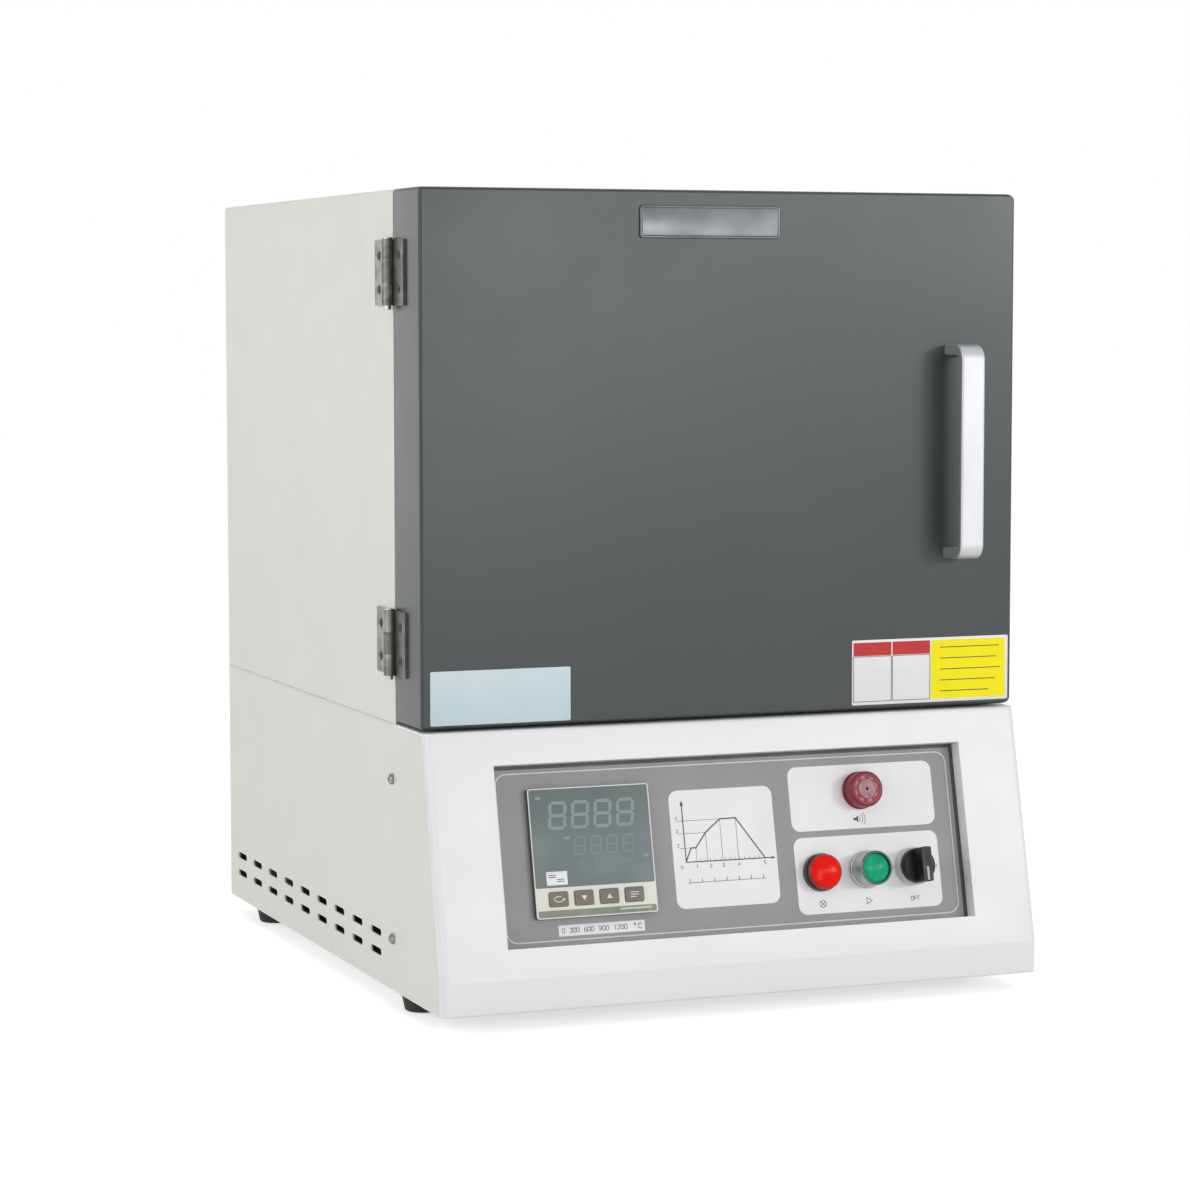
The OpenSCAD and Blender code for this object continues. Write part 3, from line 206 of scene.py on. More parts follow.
# a dark green for the ring round the start cap: painted reflection of the green cap in the guard, with painted shade
# in the gap
makeFinish("sealGreen", (52, 84, 72), (38, 64, 56), rough=0.4)
makeFinish("guardMetal", (186, 190, 188), (158, 162, 160), cloud=8, grain=0.3, depth=0.004, smudge=6, metal=1.0)
makeFinish("collarPlastic", (196, 198, 199), (184, 186, 187), cloud=8, grain=0.4, rough=0.4)
makeFinish("filmGrey", (140, 140, 142), (134, 134, 137), cloud=80, grain=0.35, depth=0.006, rough=0.46, spread=0.05)
makeFinish("cardWhite", (231, 231, 233), (225, 225, 228), cloud=40, grain=0.35, depth=0.004, rough=0.42, spread=0.05)
makeFinish("inkPale", (206, 206, 208), (198, 198, 200), cloud=10, grain=0.8, rough=0.45)
makeFinish("inkDark", (58, 58, 60), (80, 80, 82), grain=0.8, rough=0.5)
makeFinish("inkUnlit", (130, 144, 138), (123, 138, 133), grain=2.0, depth=0.0005, specular=0.25)
makeFinish("inkDim", (117, 131, 134), (112, 126, 129), grain=2.0, depth=0.0005, specular=0.25)
makeFinish("inkKey", (226, 224, 216), (206, 204, 196), cloud=4, grain=0.8, rough=0.5)
makeFinish("lineGrey", (178, 178, 175), (166, 166, 163), cloud=4, grain=0.8, rough=0.5)
makeFinish("labelBlue", (193, 211, 216), (188, 206, 212), cloud=30, depth=0.004, rough=0.35, spread=0.05)
makeFinish("labelWhite", (226, 227, 226), (218, 219, 219), cloud=20, depth=0.004, rough=0.35)
makeFinish("labelRed", (194, 48, 46), (182, 42, 42), cloud=15, depth=0.004, rough=0.45, specular=0.3)
makeFinish("labelYellow", (250, 236, 6), (242, 226, 4), cloud=20, depth=0.004, rough=0.45, specular=0.2)
makeFinish("badgeMetal", (104, 106, 107), (88, 90, 92), cloud=20, share=0.8, grain=0.3, depth=0.006,
    stretch=(0.05, 1, 1), spread=0.05, metal=1.0, edgeWearAndShade=(0.6, (150, 151, 150), 0.8))
makeFinish("plateMetal", (206, 207, 207), (192, 193, 194), cloud=30, grain=0.3, depth=0.004, stretch=(0.05, 1, 1),
    rough=0.42, smudge=20, metal=1.0)
print("finishes made:", len(bpy.data.materials))


def faceFrame(origin, right, up):
    # a face to draw on in mm: x along right, y along up, h out of it
    right, up = np.array(right, float), np.array(up, float)
    return {"origin": np.array(origin, float), "axes": np.array([right, up, np.cross(right, up)])}


def toModel(points, face):
    # origin + x * right + y * up + h * out, with out = right x up
    return face["origin"] + np.asarray(points, float) @ face["axes"]


slope = math.radians(13.1025)  # of the fascia, back from upright
deckHeight = 217.0  # bench to the cabinet's underside
panelFace = faceFrame((0, -267.4575, 124.026), (1, 0, 0), (0, math.sin(slope), math.cos(slope)))
doorFace = faceFrame((0, -252.35, deckHeight), (1, 0, 0), (0, 0, 1))
leftFace = faceFrame((-242, -191.65, deckHeight), (0, -1, 0), (0, 0, 1))
rightFace = faceFrame((242, -191.65, deckHeight), (0, 1, 0), (0, 0, 1))
backFace = faceFrame((0, 277.85, deckHeight), (-1, 0, 0), (0, 0, 1))
plainFace = faceFrame((0, 0, 0), (1, 0, 0), (0, 1, 0))  # the model's own axes
mergeDistance = 1e-7  # metres


def addPiece(name, shape, face, finish, body="cabinet", sharp=35, lift=0.0):
    # shape = (points, faces) drawn on a face, lift mm off it; doubles are merged, faces turned outwards
    points, faces = shape
    mesh = bpy.data.meshes.new(name)
    mesh.from_pydata((toModel(points + [0, 0, lift], face) * mm).tolist(), [], [list(f) for f in faces])
    work = bmesh.new()
    work.from_mesh(mesh)
    bmesh.ops.remove_doubles(work, verts=work.verts, dist=mergeDistance)
    bmesh.ops.dissolve_degenerate(work, edges=work.edges, dist=mergeDistance)
    bmesh.ops.recalc_face_normals(work, faces=work.faces)
    work.to_mesh(mesh)
    work.free()
    return finished(name, mesh, finish, body, sharp)


def finished(name, mesh, finish, body, sharp=35):
    # edges turned by more than sharp degrees stay sharp, and sharp 0 leaves every face flat
    mesh.materials.clear()
    mesh.materials.append(bpy.data.materials[finish])
    mesh.polygons.foreach_set("use_smooth", np.full(len(mesh.polygons), sharp > 0))
    if sharp > 0:
        mesh.set_sharp_from_angle(angle=math.radians(sharp))
    piece = bpy.data.objects.new(name, mesh)
    scene.collection.objects.link(piece)
    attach(piece, body)
    return piece


def gridFaces(rows, cols, wrap=True):
    # quads between neighbours of a rows x cols grid of points; wrap joins the last column to the first
    i, j = np.meshgrid(np.arange(rows - 1), np.arange(cols if wrap else cols - 1), indexing="ij")
    i, k = i * cols, (j + 1) % cols
    return np.stack([i + j, i + k, i + cols + k, i + cols + j], -1).reshape(-1, 4)


def cappedGrid(points):
    # a (rows, cols, 3) tube of points with its two end loops closed
    rows, cols = points.shape[:2]
    ends = [list(range(cols)), list(range((rows - 1) * cols, rows * cols))]
    return points.reshape(-1, 3), gridFaces(rows, cols).tolist() + ends


def joined(parts):
    # several (points, faces) as one
    points, faces, first = [], [], 0
    for p, f in parts:
        points.append(p)
        faces += [[i + first for i in face] for face in f]
        first += len(p)
    return np.concatenate(points), faces


def unit(vectors):
    # each row over its own length
    return vectors / np.linalg.norm(vectors, axis=1, keepdims=True)


def revolved(profile, steps=64, centre=(0, 0)):
    # P(i, j) = (r_i cos a_j, r_i sin a_j, h_i) round the centre, for a profile of (r, h)
    profile = np.asarray(profile, float)
    a = np.linspace(0, 2 * math.pi, steps, endpoint=False)
    rings = np.stack([centre[0] + profile[:, :1] * np.cos(a), centre[1] + profile[:, :1] * np.sin(a),
                      profile[:, 1:2] + 0 * a], -1)
    return rings.reshape(-1, 3), gridFaces(len(profile), steps).tolist()


def arcProfile(cx, cy, r, start, end, steps=6):
    # points on a circle from one angle to another, in degrees
    a = np.radians(np.linspace(start, end, steps))
    return np.stack([cx + r * np.cos(a), cy + r * np.sin(a)], -1)


def roundedLoop(w, h, r, centre=(0, 0), steps=6):
    # the outline of a w x h rectangle whose corners have radius r, anticlockwise
    x, y = w / 2 - r, h / 2 - r
    corners = [arcProfile(sx * x, sy * y, r, start, start + 90, steps)
               for sx, sy, start in ((1, 1, 0), (-1, 1, 90), (-1, -1, 180), (1, -1, 270))]
    return np.concatenate(corners) + np.array(centre)


def stackedLoops(size, r, centre, insets, heights, leastRadius):
    # P(k) = the rounded outline shrunk by inset k and lifted to height k, one loop joined to the next
    loops = []
    for inset, height in zip(insets, heights):
        loop = roundedLoop(size[0] - 2 * inset, size[1] - 2 * inset, max(r - inset, leastRadius), centre)
        loops.append(np.column_stack([loop, np.full(len(loop), height)]))
    return cappedGrid(np.stack(loops))


def plate(size, r, low, high, edge, centre=(0, 0)):
    # a flat plate from height low to high whose upper rim is rolled over by edge
    turn = np.radians(np.linspace(0, 90, 4))
    insets = np.concatenate([[0], edge * (1 - np.cos(turn))])
    heights = np.concatenate([[low], high - edge + edge * np.sin(turn)])
    return stackedLoops(size, r, centre, insets, heights, 0.05)


def edged(nodeName, finish, width=0.3, segments=2, sharp=35):
    # a copy of the node's mesh, doubles merged and flat triangles joined, its edges rolled over by width mm
    work = bmesh.new()
    work.from_mesh(nodes[nodeName].data)
    bmesh.ops.remove_doubles(work, verts=work.verts, dist=2e-6)
    bmesh.ops.dissolve_limit(work, angle_limit=math.radians(0.4), verts=work.verts, edges=work.edges)
    mesh = bpy.data.meshes.new(nodeName + "_edged")
    work.to_mesh(mesh)
    work.free()
    piece = finished(mesh.name, mesh, finish, bodyOf[nodeName], sharp)
    if width > 0:
        bevel = piece.modifiers.new("rolledEdges", "BEVEL")
        bevel.width = width * mm
        bevel.segments = segments
        bevel.limit_method = "ANGLE"
        bevel.angle_limit = math.radians(sharp)
        bevel.harden_normals = True
        bevel.use_clamp_overlap = True
    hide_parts(nodeName)
    return piece


def paint(nodeName, finish):
    # a hidden or plain node keeps its own mesh and takes a finish
    mesh = nodes[nodeName].data
    mesh.materials.clear()
    mesh.materials.append(bpy.data.materials[finish])


def ribbon(path, width, closed=False):
    # a flat line: P(s, +-1) = path(s) +- width / 2 * side(s), side being square to the mean of the two next steps
    path = np.asarray(path, float)
    ahead = np.roll(path, -1, 0) - path
    behind = path - np.roll(path, 1, 0)
    if not closed:
        ahead[-1], behind[0] = behind[-1], ahead[0]
    ahead = unit(ahead)
    mean = unit(ahead + unit(behind))
    reach = width / 2 / np.clip((mean * ahead).sum(1), 0.5, 1)
    side = np.stack([-mean[:, 1], mean[:, 0]], -1) * reach[:, None]
    points = np.stack([path - side, path + side], 0)
    faces = gridFaces(2, len(path), closed)
    return np.concatenate([points.reshape(-1, 2), np.zeros((2 * len(path), 1))], 1), faces.tolist()


def filled(loop):
    # one flat face inside a closed outline
    loop = np.asarray(loop, float)
    return np.column_stack([loop, np.zeros(len(loop))]), [list(range(len(loop)))]


def printed(name, parts, face, height, finish, body="cabinet", thickness=0.06):
    # flat art at a height over its face, given a thickness by Solidify
    points, faces = joined(parts)
    mesh = bpy.data.meshes.new(name)
    mesh.from_pydata((toModel(points + [0, 0, height], face) * mm).tolist(), [], faces)
    work = bmesh.new()
    work.from_mesh(mesh)
    out = Vector(face["axes"][2])
    bmesh.ops.reverse_faces(work, faces=[f for f in work.faces if f.normal.dot(out) < 0])
    work.to_mesh(mesh)
    work.free()
    piece = finished(name, mesh, finish, body, 0)
    thick = piece.modifiers.new("inkThickness", "SOLIDIFY")
    thick.thickness = thickness * mm
    thick.offset = 1.0
    return piece


def sheetWithHoles(loops):
    # the area inside the first loop and outside the others, cut into triangles
    points = np.concatenate(loops)
    starts = np.cumsum([0] + [len(loop) for loop in loops[:-1]])
    edges = [(int(a + i), int(a + (i + 1) % len(loop))) for a, loop in zip(starts, loops) for i in range(len(loop))]
    made = geometry.delaunay_2d_cdt([Vector(p) for p in points], edges, [], 5, 1e-6)
    flat = np.array([tuple(p) for p in made[0]])
    return np.column_stack([flat, np.zeros(len(flat))]), [list(f) for f in made[2]]


strokeFont = {  # each sign as strokes in a box 4 wide and 6 high
    "0": [[(0, 1), (0, 5), (1, 6), (3, 6), (4, 5), (4, 1), (3, 0), (1, 0), (0, 1)]],
    "1": [[(1, 5), (2.2, 6), (2.2, 0)]],
    "2": [[(0, 5), (1, 6), (3, 6), (4, 5), (4, 4), (0, 0), (4, 0)]],
    "3": [[(0, 5.4), (1, 6), (3, 6), (4, 5), (3, 3.2), (1.6, 3.2)], [(3, 3.2), (4, 1.4), (3, 0), (1, 0), (0, 0.8)]],
    "4": [[(3, 0), (3, 6), (0, 2), (4, 2)]],
    "6": [[(3.6, 5.6), (2.4, 6), (0.8, 5), (0, 3), (0, 1), (1, 0), (3, 0), (4, 1), (4, 2.4), (3, 3.4), (0.4, 3)]],
    "9": [[(0.4, 0.4), (1.6, 0), (3.2, 1), (4, 3), (4, 5), (3, 6), (1, 6), (0, 5), (0, 3.6), (1, 2.6), (3.6, 3)]],
    "N": [[(0, 0), (0, 6), (4, 0), (4, 6)]],
    "F": [[(4, 6), (0, 6), (0, 0)], [(0, 3.2), (3.2, 3.2)]],
    "5": [[(4, 6), (0, 6), (0, 3.4), (3, 3.4), (4, 2.4), (4, 1), (3, 0), (0, 0)]],
    "C": [[(4, 5), (3, 6), (1, 6), (0, 5), (0, 1), (1, 0), (3, 0), (4, 1)]],
    "o": [[(0.4, 4.6), (0.4, 5.6), (1.2, 6.2), (2, 5.6), (2, 4.6), (1.2, 4), (0.4, 4.6)]],
}
strokeFont["O"] = strokeFont["0"]


def lettered(text, at, height, width=0.35, gap=1.6):
    # strokes of each sign scaled to height, set one beside the other from the middle out
    k = height / 6
    start = at[0] - (len(text) * (4 + gap) - gap) * k / 2
    return [ribbon(np.array(stroke) * k + (start + i * (4 + gap) * k, at[1]), width)
            for i, sign in enumerate(text) for stroke in strokeFont[sign]]


edged("outer_casing", "casingPaint", 0.35)
edged("rear_panel", "casingPaint", 0.2, 1)
edged("face_plate", "sheetSteel")
edged("fascia", "frontPaint")
edged("base_side_left", "casingPaint")
edged("base_side_right", "casingPaint")
edged("deck_plate", "casingPaint")
edged("floor_pan", "sheetSteel")
edged("base_rear_panel", "casingPaint", 0.25)
for word in ("front_left", "front_right", "rear_left", "rear_right"):
    edged("foot_" + word, "footRubber", 0.5)
paint("inner_shell", "sheetSteel")
paint("support_frame", "framePaint")
paint("heat_sink", "sinkAluminium")
for nodeName in ("power_relay", "ring_nuts", "contact_blocks"):
    paint(nodeName, "darkPlastic")

screwLook = dict(headRadius=4.2, rise=1.9, flatness=0.85, slotHalf=0.6, slotReach=2.3, slotDepth=1.1, slotLip=0.25,
    slotSlope=0.3, slotEnd=0.4)


def panScrews(places, steps=48, rings=14, **changes):
    # height(r, a) = rise * sqrt(1 - flatness (r / R)^2) less a cross: slotDepth where min(|x|, |y|) < slotHalf
    look = {**screwLook, **changes}
    r = np.linspace(0, 1, rings)[:, None] * look["headRadius"]
    a = np.linspace(0, 2 * math.pi, steps, endpoint=False)[None, :]
    x, y = r * np.cos(a), r * np.sin(a)
    dome = look["rise"] * np.sqrt(1 - look["flatness"] * (r / look["headRadius"]) ** 2) + 0 * a
    across = np.clip((look["slotHalf"] + look["slotLip"] - np.minimum(abs(x), abs(y))) / look["slotSlope"], 0, 1)
    inside = np.clip((look["slotReach"] - r) / look["slotEnd"], 0, 1)
    height = dome - look["slotDepth"] * across * inside
    heads = []
    for at in places:
        top = np.stack([at[0] + x, at[1] + y, height], -1)
        heads.append(cappedGrid(np.concatenate([top, top[-1:] * [1, 1, 0]])))
    return joined(heads)


# a side face's own x runs forwards on the left and back on the right, so way turns it round
# the right-hand heads are lower, to stay inside the solids' box
sideLook = dict(left=(leftFace, -1, 3.6), right=(rightFace, 1, 1.9))
sideScrewAt = dict(behindEdge=8.3, heights=(-163.0, -42.0))
for side, (face, way, rise) in sideLook.items():
    heads = panScrews([(way * sideScrewAt["behindEdge"], z) for z in sideScrewAt["heights"]], rise=rise)
    # the heads' dark blotches are painted shade
    screws = addPiece("side_screw_heads_" + side, heads, face, "screwWorn")
    if side == "left":
        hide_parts("side_screws")
# a thin darker line along the seam between casing and base on each side: painted shade where the two parts meet
seamLook = dict(front=-190.0, back=276.0, width=0.8, height=-0.02, thickness=0.03)
for side, (face, way, _) in sideLook.items():
    ends = [(way * (y - face["origin"][1]), 0) for y in (seamLook["front"], seamLook["back"])]
    printed("seam_painted_shade_" + side, [ribbon(ends, seamLook["width"])], face, seamLook["height"], "seamGrime",
            thickness=seamLook["thickness"])
print("cabinet and base done")

for word in ("floor", "roof", "left", "right", "rear"):
    edged("insulation_" + word, "fibreBoard", 0.5)
edged("hearth_plate", "hearthCeramic", 1.2, 3)
edged("thermocouple", "sheathCeramic", 0.3)
edged("door_catch", "darkPlastic", 0.6)

coilLook = dict(wireRadius=0.55, coilRadius=1.95, pitch=2.7, perTurn=9, sides=5, runs=6, rise=28.0, front=-133.65,
    back=114.35, middle=413.2, away=103.0, straightSteps=120, bendSteps=40, leadEnd=251.55, leadRadius=1.6)


def heaterCoil(side, look):
    # centre line: runs along y joined by half circles; coil = centre + R (cos f, sin f) across it; tube round that
    bend = look["rise"] / 2
    heights = look["middle"] + (np.arange(look["runs"]) - (look["runs"] - 1) / 2) * look["rise"]
    ends = (look["back"], look["front"])
    pieces = []
    for i, z in enumerate(heights):
        start, end = ends[i % 2], ends[(i + 1) % 2]
        straight = np.linspace(start, end, look["straightSteps"])
        pieces.append(np.stack([straight, np.full(len(straight), z)], -1))
        if i < look["runs"] - 1:
            a = np.radians(np.linspace(-90, 90, look["bendSteps"]))
            way = -1 if end == look["front"] else 1
            pieces.append(np.stack([end + way * bend * np.cos(a), z + bend + bend * np.sin(a)], -1))
    line = np.concatenate(pieces)
    steps = np.linalg.norm(np.diff(line, axis=0), axis=1)
    line = line[np.concatenate([[True], steps > 1e-6])]  # a bend starts on its run's last point
    along = np.concatenate([[0], np.cumsum(np.linalg.norm(np.diff(line, axis=0), axis=1))])
    s = np.arange(0, along[-1], look["pitch"] / look["perTurn"])
    y, z = np.interp(s, along, line[:, 0]), np.interp(s, along, line[:, 1])
    centre = np.stack([np.full_like(s, side * look["away"]), y, z], -1)
    outwards = np.array([1.0, 0, 0])
    across = np.cross(unit(np.gradient(centre, axis=0)), outwards)
    f = 2 * math.pi * s / look["pitch"]
    radial = np.cos(f)[:, None] * outwards + np.sin(f)[:, None] * across
    wire = centre + look["coilRadius"] * radial
    third = np.cross(unit(np.gradient(wire, axis=0)), radial)
    t = np.linspace(0, 2 * math.pi, look["sides"], endpoint=False)
    ring = np.cos(t)[:, None] * radial[:, None] + np.sin(t)[:, None] * third[:, None]
    tube = wire[:, None] + look["wireRadius"] * ring
    leads = []
    for z in (heights[0], heights[-1]):
        end = np.stack([side * look["away"] + look["leadRadius"] * np.cos(t), 0 * t,
                        z + look["leadRadius"] * np.sin(t)], -1)
        leads.append(cappedGrid(np.stack([end + [0, look["back"] - 1, 0], end + [0, look["leadEnd"], 0]])))
    return joined([cappedGrid(tube)] + leads)


for side, word in ((-1, "left"), (1, "right")):
    coil = addPiece("heater_coil_" + word, heaterCoil(side, coilLook), plainFace, "heaterWire",
                    sharp=80)
    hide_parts("heater_" + word)
print("chamber done")

edged("door_shell", "doorPaint", 0.35)
edged("door_liner", "sheetSteel", 0.25)
edged("door_plug", "fibreBoard", 2.0, 3)
edged("door_gasket", "gasketTape", 0.9, 3)
paint("handle_screws", "screwSteel")

handleLook = dict(x=192.0, z=199.25, width=19.5, length=164.0, out=30.0, bar=5.0, leg=8.0, bend=12.0, innerBend=7.0,
    edge=1.9, legSteps=6, bendSteps=14)


def handleBar(look):
    # P(s, t) = inner(s) + (outer(s) - inner(s)) * depth(t) + x(t), with the four long edges rolled to one radius
    half, legSteps = look["length"] / 2, look["legSteps"]

    def bentLine(reach, top, bend):
        leg = np.stack([np.linspace(0, reach - bend, legSteps), np.full(legSteps, top)], -1)
        turn = arcProfile(reach - bend, top - bend, bend, 90, 0, look["bendSteps"])
        upper = np.concatenate([leg, turn])
        return np.concatenate([upper, (upper * [1, -1])[::-1]])

    outer = bentLine(look["out"], half, look["bend"])
    inner = bentLine(look["out"] - look["bar"], half - look["leg"], look["innerBend"])
    straight = look["out"] - look["bar"] - look["innerBend"]
    inner[:legSteps, 0] = outer[:legSteps, 0] * straight / (look["out"] - look["bend"])
    inner[-legSteps:, 0] = inner[:legSteps, 0][::-1]
    corner = 0.999  # just under half of the loop's height
    loop = roundedLoop(look["width"], 2.0, corner, steps=8)  # the bar's section, its depth as -1..1
    past = abs(loop[:, 0]) - look["width"] / 2 + corner
    x = np.sign(loop[:, 0]) * (look["width"] / 2 - look["edge"] + look["edge"] * past)
    roll = loop[:, 1]
    gap = outer - inner
    thick = np.linalg.norm(gap, axis=1, keepdims=True)
    way = gap / thick
    depth = np.where(roll > 0, thick - look["edge"] + look["edge"] * roll, look["edge"] + look["edge"] * roll)
    flat = inner[:, None] + way[:, None] * depth[:, :, None]
    points = np.stack([look["x"] + x + 0 * depth, look["z"] + flat[:, :, 1], flat[:, :, 0]], -1)
    return cappedGrid(points)


handle = addPiece("handle_bar", handleBar(handleLook), doorFace, "handleMetal", "door", 40)
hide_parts("handle")

for word in ("upper", "lower"):
    edged("cabinet_leaf_" + word, "hingeSteel", 0.35)
    edged("door_leaf_" + word, "leafSteel", 0.35)
edged("hinge_pins", "screwSteel", 0.5)
leafScrewLook = dict(headRadius=3.4, rise=0.7, slotDepth=0.8, slotReach=2.2, slotHalf=0.5)
leafScrewAt = dict(cabinet=-28.0, door=18.5, heights=(49.0, 74.0, 323.0, 348.0), lift=2.1)
for body in ("cabinet", "door"):
    heads = panScrews([(leafScrewAt[body], z) for z in leafScrewAt["heights"]], **leafScrewLook)
    addPiece("hinge_screws_" + body, heads, leftFace, "screwDark", body, lift=leafScrewAt["lift"])

badgeLook = dict(centre=(-13.8, 372.75), size=(113.6, 24.5), corner=2.5, rise=2.0, rim=2.2, field=1.2, rimFoot=0.1,
    rimReach=0.3)


def rimmedPlate(look):
    # the outline goes up the outside, over a round rim and down to a sunk field
    rim, top, field = look["rim"], look["rise"], look["field"]
    turn = np.radians(np.linspace(180, 0, 9))
    insets = np.concatenate([[0, 0], rim / 2 + rim / 2 * np.cos(turn), [rim + look["rimReach"]]])
    heights = np.concatenate([[0, top - rim / 2], top - rim / 2 + rim / 2 * np.sin(turn), [field]])
    heights[-2] = field + look["rimFoot"]
    return stackedLoops(look["size"], look["corner"], look["centre"], insets, heights, 0.1)


addPiece("badge_plate", rimmedPlate(badgeLook), doorFace, "badgeMetal", "door")
labelLook = dict(blue=((-180.25, 24.8), (109.5, 40.0)), service=((172.0, 30.7), (134.0, 50.0)), corner=1.2, top=0.25,
    edge=0.1, ink=0.32, cellsAt=(122.2, 155.4), header=(32.2, 10.2), headerAt=48.6, cell=(32.2, 34.6), cellAt=25.6,
    cellLine=0.45, field=(64.0, 45.6), fieldAt=(204.4, 30.9), ruleStart=180.0,
    rules=((48, 231), (39.5, 229), (31, 232), (22.5, 228), (14, 222)), rule=0.7)
for word, finish in (("blue", "labelBlue"), ("service", "labelWhite")):
    centre, size = labelLook[word]
    addPiece("label_" + word, plate(size, labelLook["corner"], 0.0, labelLook["top"], labelLook["edge"], centre),
             doorFace, finish, "door")


def block(size, centre, corner=0.4, steps=2):
    # a filled rectangle with slightly rounded corners
    return filled(roundedLoop(*size, corner, centre, steps))


headers = [block(labelLook["header"], (x, labelLook["headerAt"])) for x in labelLook["cellsAt"]]
printed("label_header", headers, doorFace, labelLook["top"], "labelRed", "door")
printed("label_field", [block(labelLook["field"], labelLook["fieldAt"])], doorFace, labelLook["top"], "labelYellow",
        "door")
cellLines = [ribbon(roundedLoop(*labelLook["cell"], 0.4, (x, labelLook["cellAt"]), 2), labelLook["cellLine"], True)
             for x in labelLook["cellsAt"]]
ruledLines = [ribbon([(labelLook["ruleStart"], y), (x, y)], labelLook["rule"]) for y, x in labelLook["rules"]]
printed("label_lines", cellLines + ruledLines, doorFace, labelLook["ink"], "inkDark", "door")
print("door done")

deviceAt = dict(lamp=(69.2, -25.7), start=(108.0, -25.7), selector=(146.8, -25.7), buzzer=(108.0, 34.8))
controllerAt = np.array([-115.5, 1.2])
# the film is smaller than the plate and set low and left, so the dark plate shows along its top and right edges as
# painted shadow of the recess edges
edged("panel_plate", "panelPaint", 0.0)
filmLook = dict(size=(377.2, 131.2), centre=(-1.4, -1.2), corner=0.8, lineSize=(369.6, 124.2), lineCorner=8.5,
    lineCentre=(-1.4, -0.75), line=0.9, top=0.25, cardThick=0.1, ink=0.36, opening=(95, 95), openingCorner=1.5,
    holeRadius=14.2)
deviceHoles = {word: arcProfile(*at, filmLook["holeRadius"], 0, 352.5, 48) for word, at in deviceAt.items()}


def onPanel(name, parts, finish, height=filmLook["ink"], thickness=0.06, body="cabinet"):
    # flat art on the control plate, height mm over it
    return printed(name, parts, panelFace, height, finish, body, thickness)


filmLoops = [roundedLoop(*filmLook["size"], filmLook["corner"], filmLook["centre"], 3),
             roundedLoop(*filmLook["opening"], filmLook["openingCorner"], controllerAt), *deviceHoles.values()]
onPanel("panel_film", [sheetWithHoles(filmLoops)], "filmGrey", 0.0, filmLook["top"])
border = roundedLoop(*filmLook["lineSize"], filmLook["lineCorner"], filmLook["lineCentre"], 10)
onPanel("panel_border", [ribbon(border, filmLook["line"], True)], "inkPale", filmLook["top"])

cardLook = dict(graph=((-7.75, -1.85), (84.5, 88.7), ()), alarm=((109.6, 30.6), (121.2, 49.2), ("buzzer",)),
    switch=((109.6, -27.9), (121.2, 58.2), ("lamp", "start", "selector")), corner=7.0)
for word in ("graph", "alarm", "switch"):
    centre, size, devices = cardLook[word]
    loops = [roundedLoop(*size, cardLook["corner"], centre, 8)] + [deviceHoles[device] for device in devices]
    onPanel("card_" + word, [sheetWithHoles(loops)], "cardWhite", filmLook["top"], filmLook["cardThick"])

graphLook = dict(axes=[(-40, 33), (-39.8, -11.5), (31, -11.9)], axisLine=0.85, curveLine=1.0, thinLine=0.32,
    curve=[(-39.7, -10.7), (-35, -1), (-31.1, -1.1), (-22.3, 9.9), (-9.9, 19.5), (3, 19.7), (24.4, -11.3)],
    arrows=([(-41.4, 31), (-38.6, 31), (-40, 35)], [(30.2, -10.7), (30.2, -13.1), (33.2, -11.9)]),
    levels=((-45, 19.5, -9.9), (-45, 9.9, -22.3), (-44, -1.0, -31.1)), foot=-11.5, tickTop=-9.6,
    left=(("4", 20.6), ("3", 10.8), ("2", 0.0)), leftAt=-45.3, underAt=-16.4,
    under=(("0", -43.5), ("1", -31.1), ("2", -20), ("3", -9.9), ("4", 3), ("5", 24.4)), scale=((-40, 24), -27),
    scaleTop=-24)
foot = graphLook["foot"]
art = [ribbon(graphLook["axes"], graphLook["axisLine"]), ribbon(graphLook["curve"], graphLook["curveLine"])]
art += [filled(arrow) for arrow in graphLook["arrows"]]
art += [ribbon([(x, y), (x, foot)], graphLook["thinLine"]) for x, y in graphLook["curve"][2:6]]
art += [ribbon([(start, y), (end, y)], graphLook["thinLine"]) for start, y, end in graphLook["levels"]]
art += [ribbon([(x, foot), (x, graphLook["tickTop"])], 0.3) for x in np.arange(-28, 24, 4.0)]
signs = [(sign, (graphLook["leftAt"], y)) for sign, y in graphLook["left"]]
signs += [(sign, (x, graphLook["underAt"])) for sign, x in graphLook["under"]]
for sign, at in signs:
    art += lettered(sign, at, 2.4, 0.35)
(start, end), low = graphLook["scale"]
art += [ribbon([(x, graphLook["scaleTop"]), (x, low)], 0.5) for x in np.linspace(-38, 22, 7)]
art += [ribbon([(start, low), (end, low)], 0.4)]
onPanel("graph_art", art, "inkDark")

# under the lamp a crossed ring, under the button a triangle, by the selector OFF and ON, under the buzzer a horn
markLook = dict(line=0.45, ring=(69.2, -49.6), ringRadius=2.6, cross=1.8,
    triangle=[(106, -51.8), (106, -47.2), (110.4, -49.5)], horn=(101.0, 13.2))
x, y = markLook["ring"]
marks = [ribbon(arcProfile(x, y, markLook["ringRadius"], 0, 345, 24), markLook["line"], True)]
marks += [ribbon([(x - markLook["cross"], y - way * markLook["cross"]),
                  (x + markLook["cross"], y + way * markLook["cross"])], markLook["line"]) for way in (-1, 1)]
marks += [ribbon(markLook["triangle"], 0.5, True)]
marks += lettered("OFF", (147.4, -51.4), 3.0, 0.45) + lettered("ON", (165.6, -27.2), 2.6, 0.4, 1.2)
marks += [ribbon([(124.6, -25.7), (131.6, -25.7)], 0.6)]
x, y = markLook["horn"]
marks += [ribbon(arcProfile(x + 2.5, y, r, -38, 38, 9), markLook["line"]) for r in (3.0, 5.2, 7.4)]
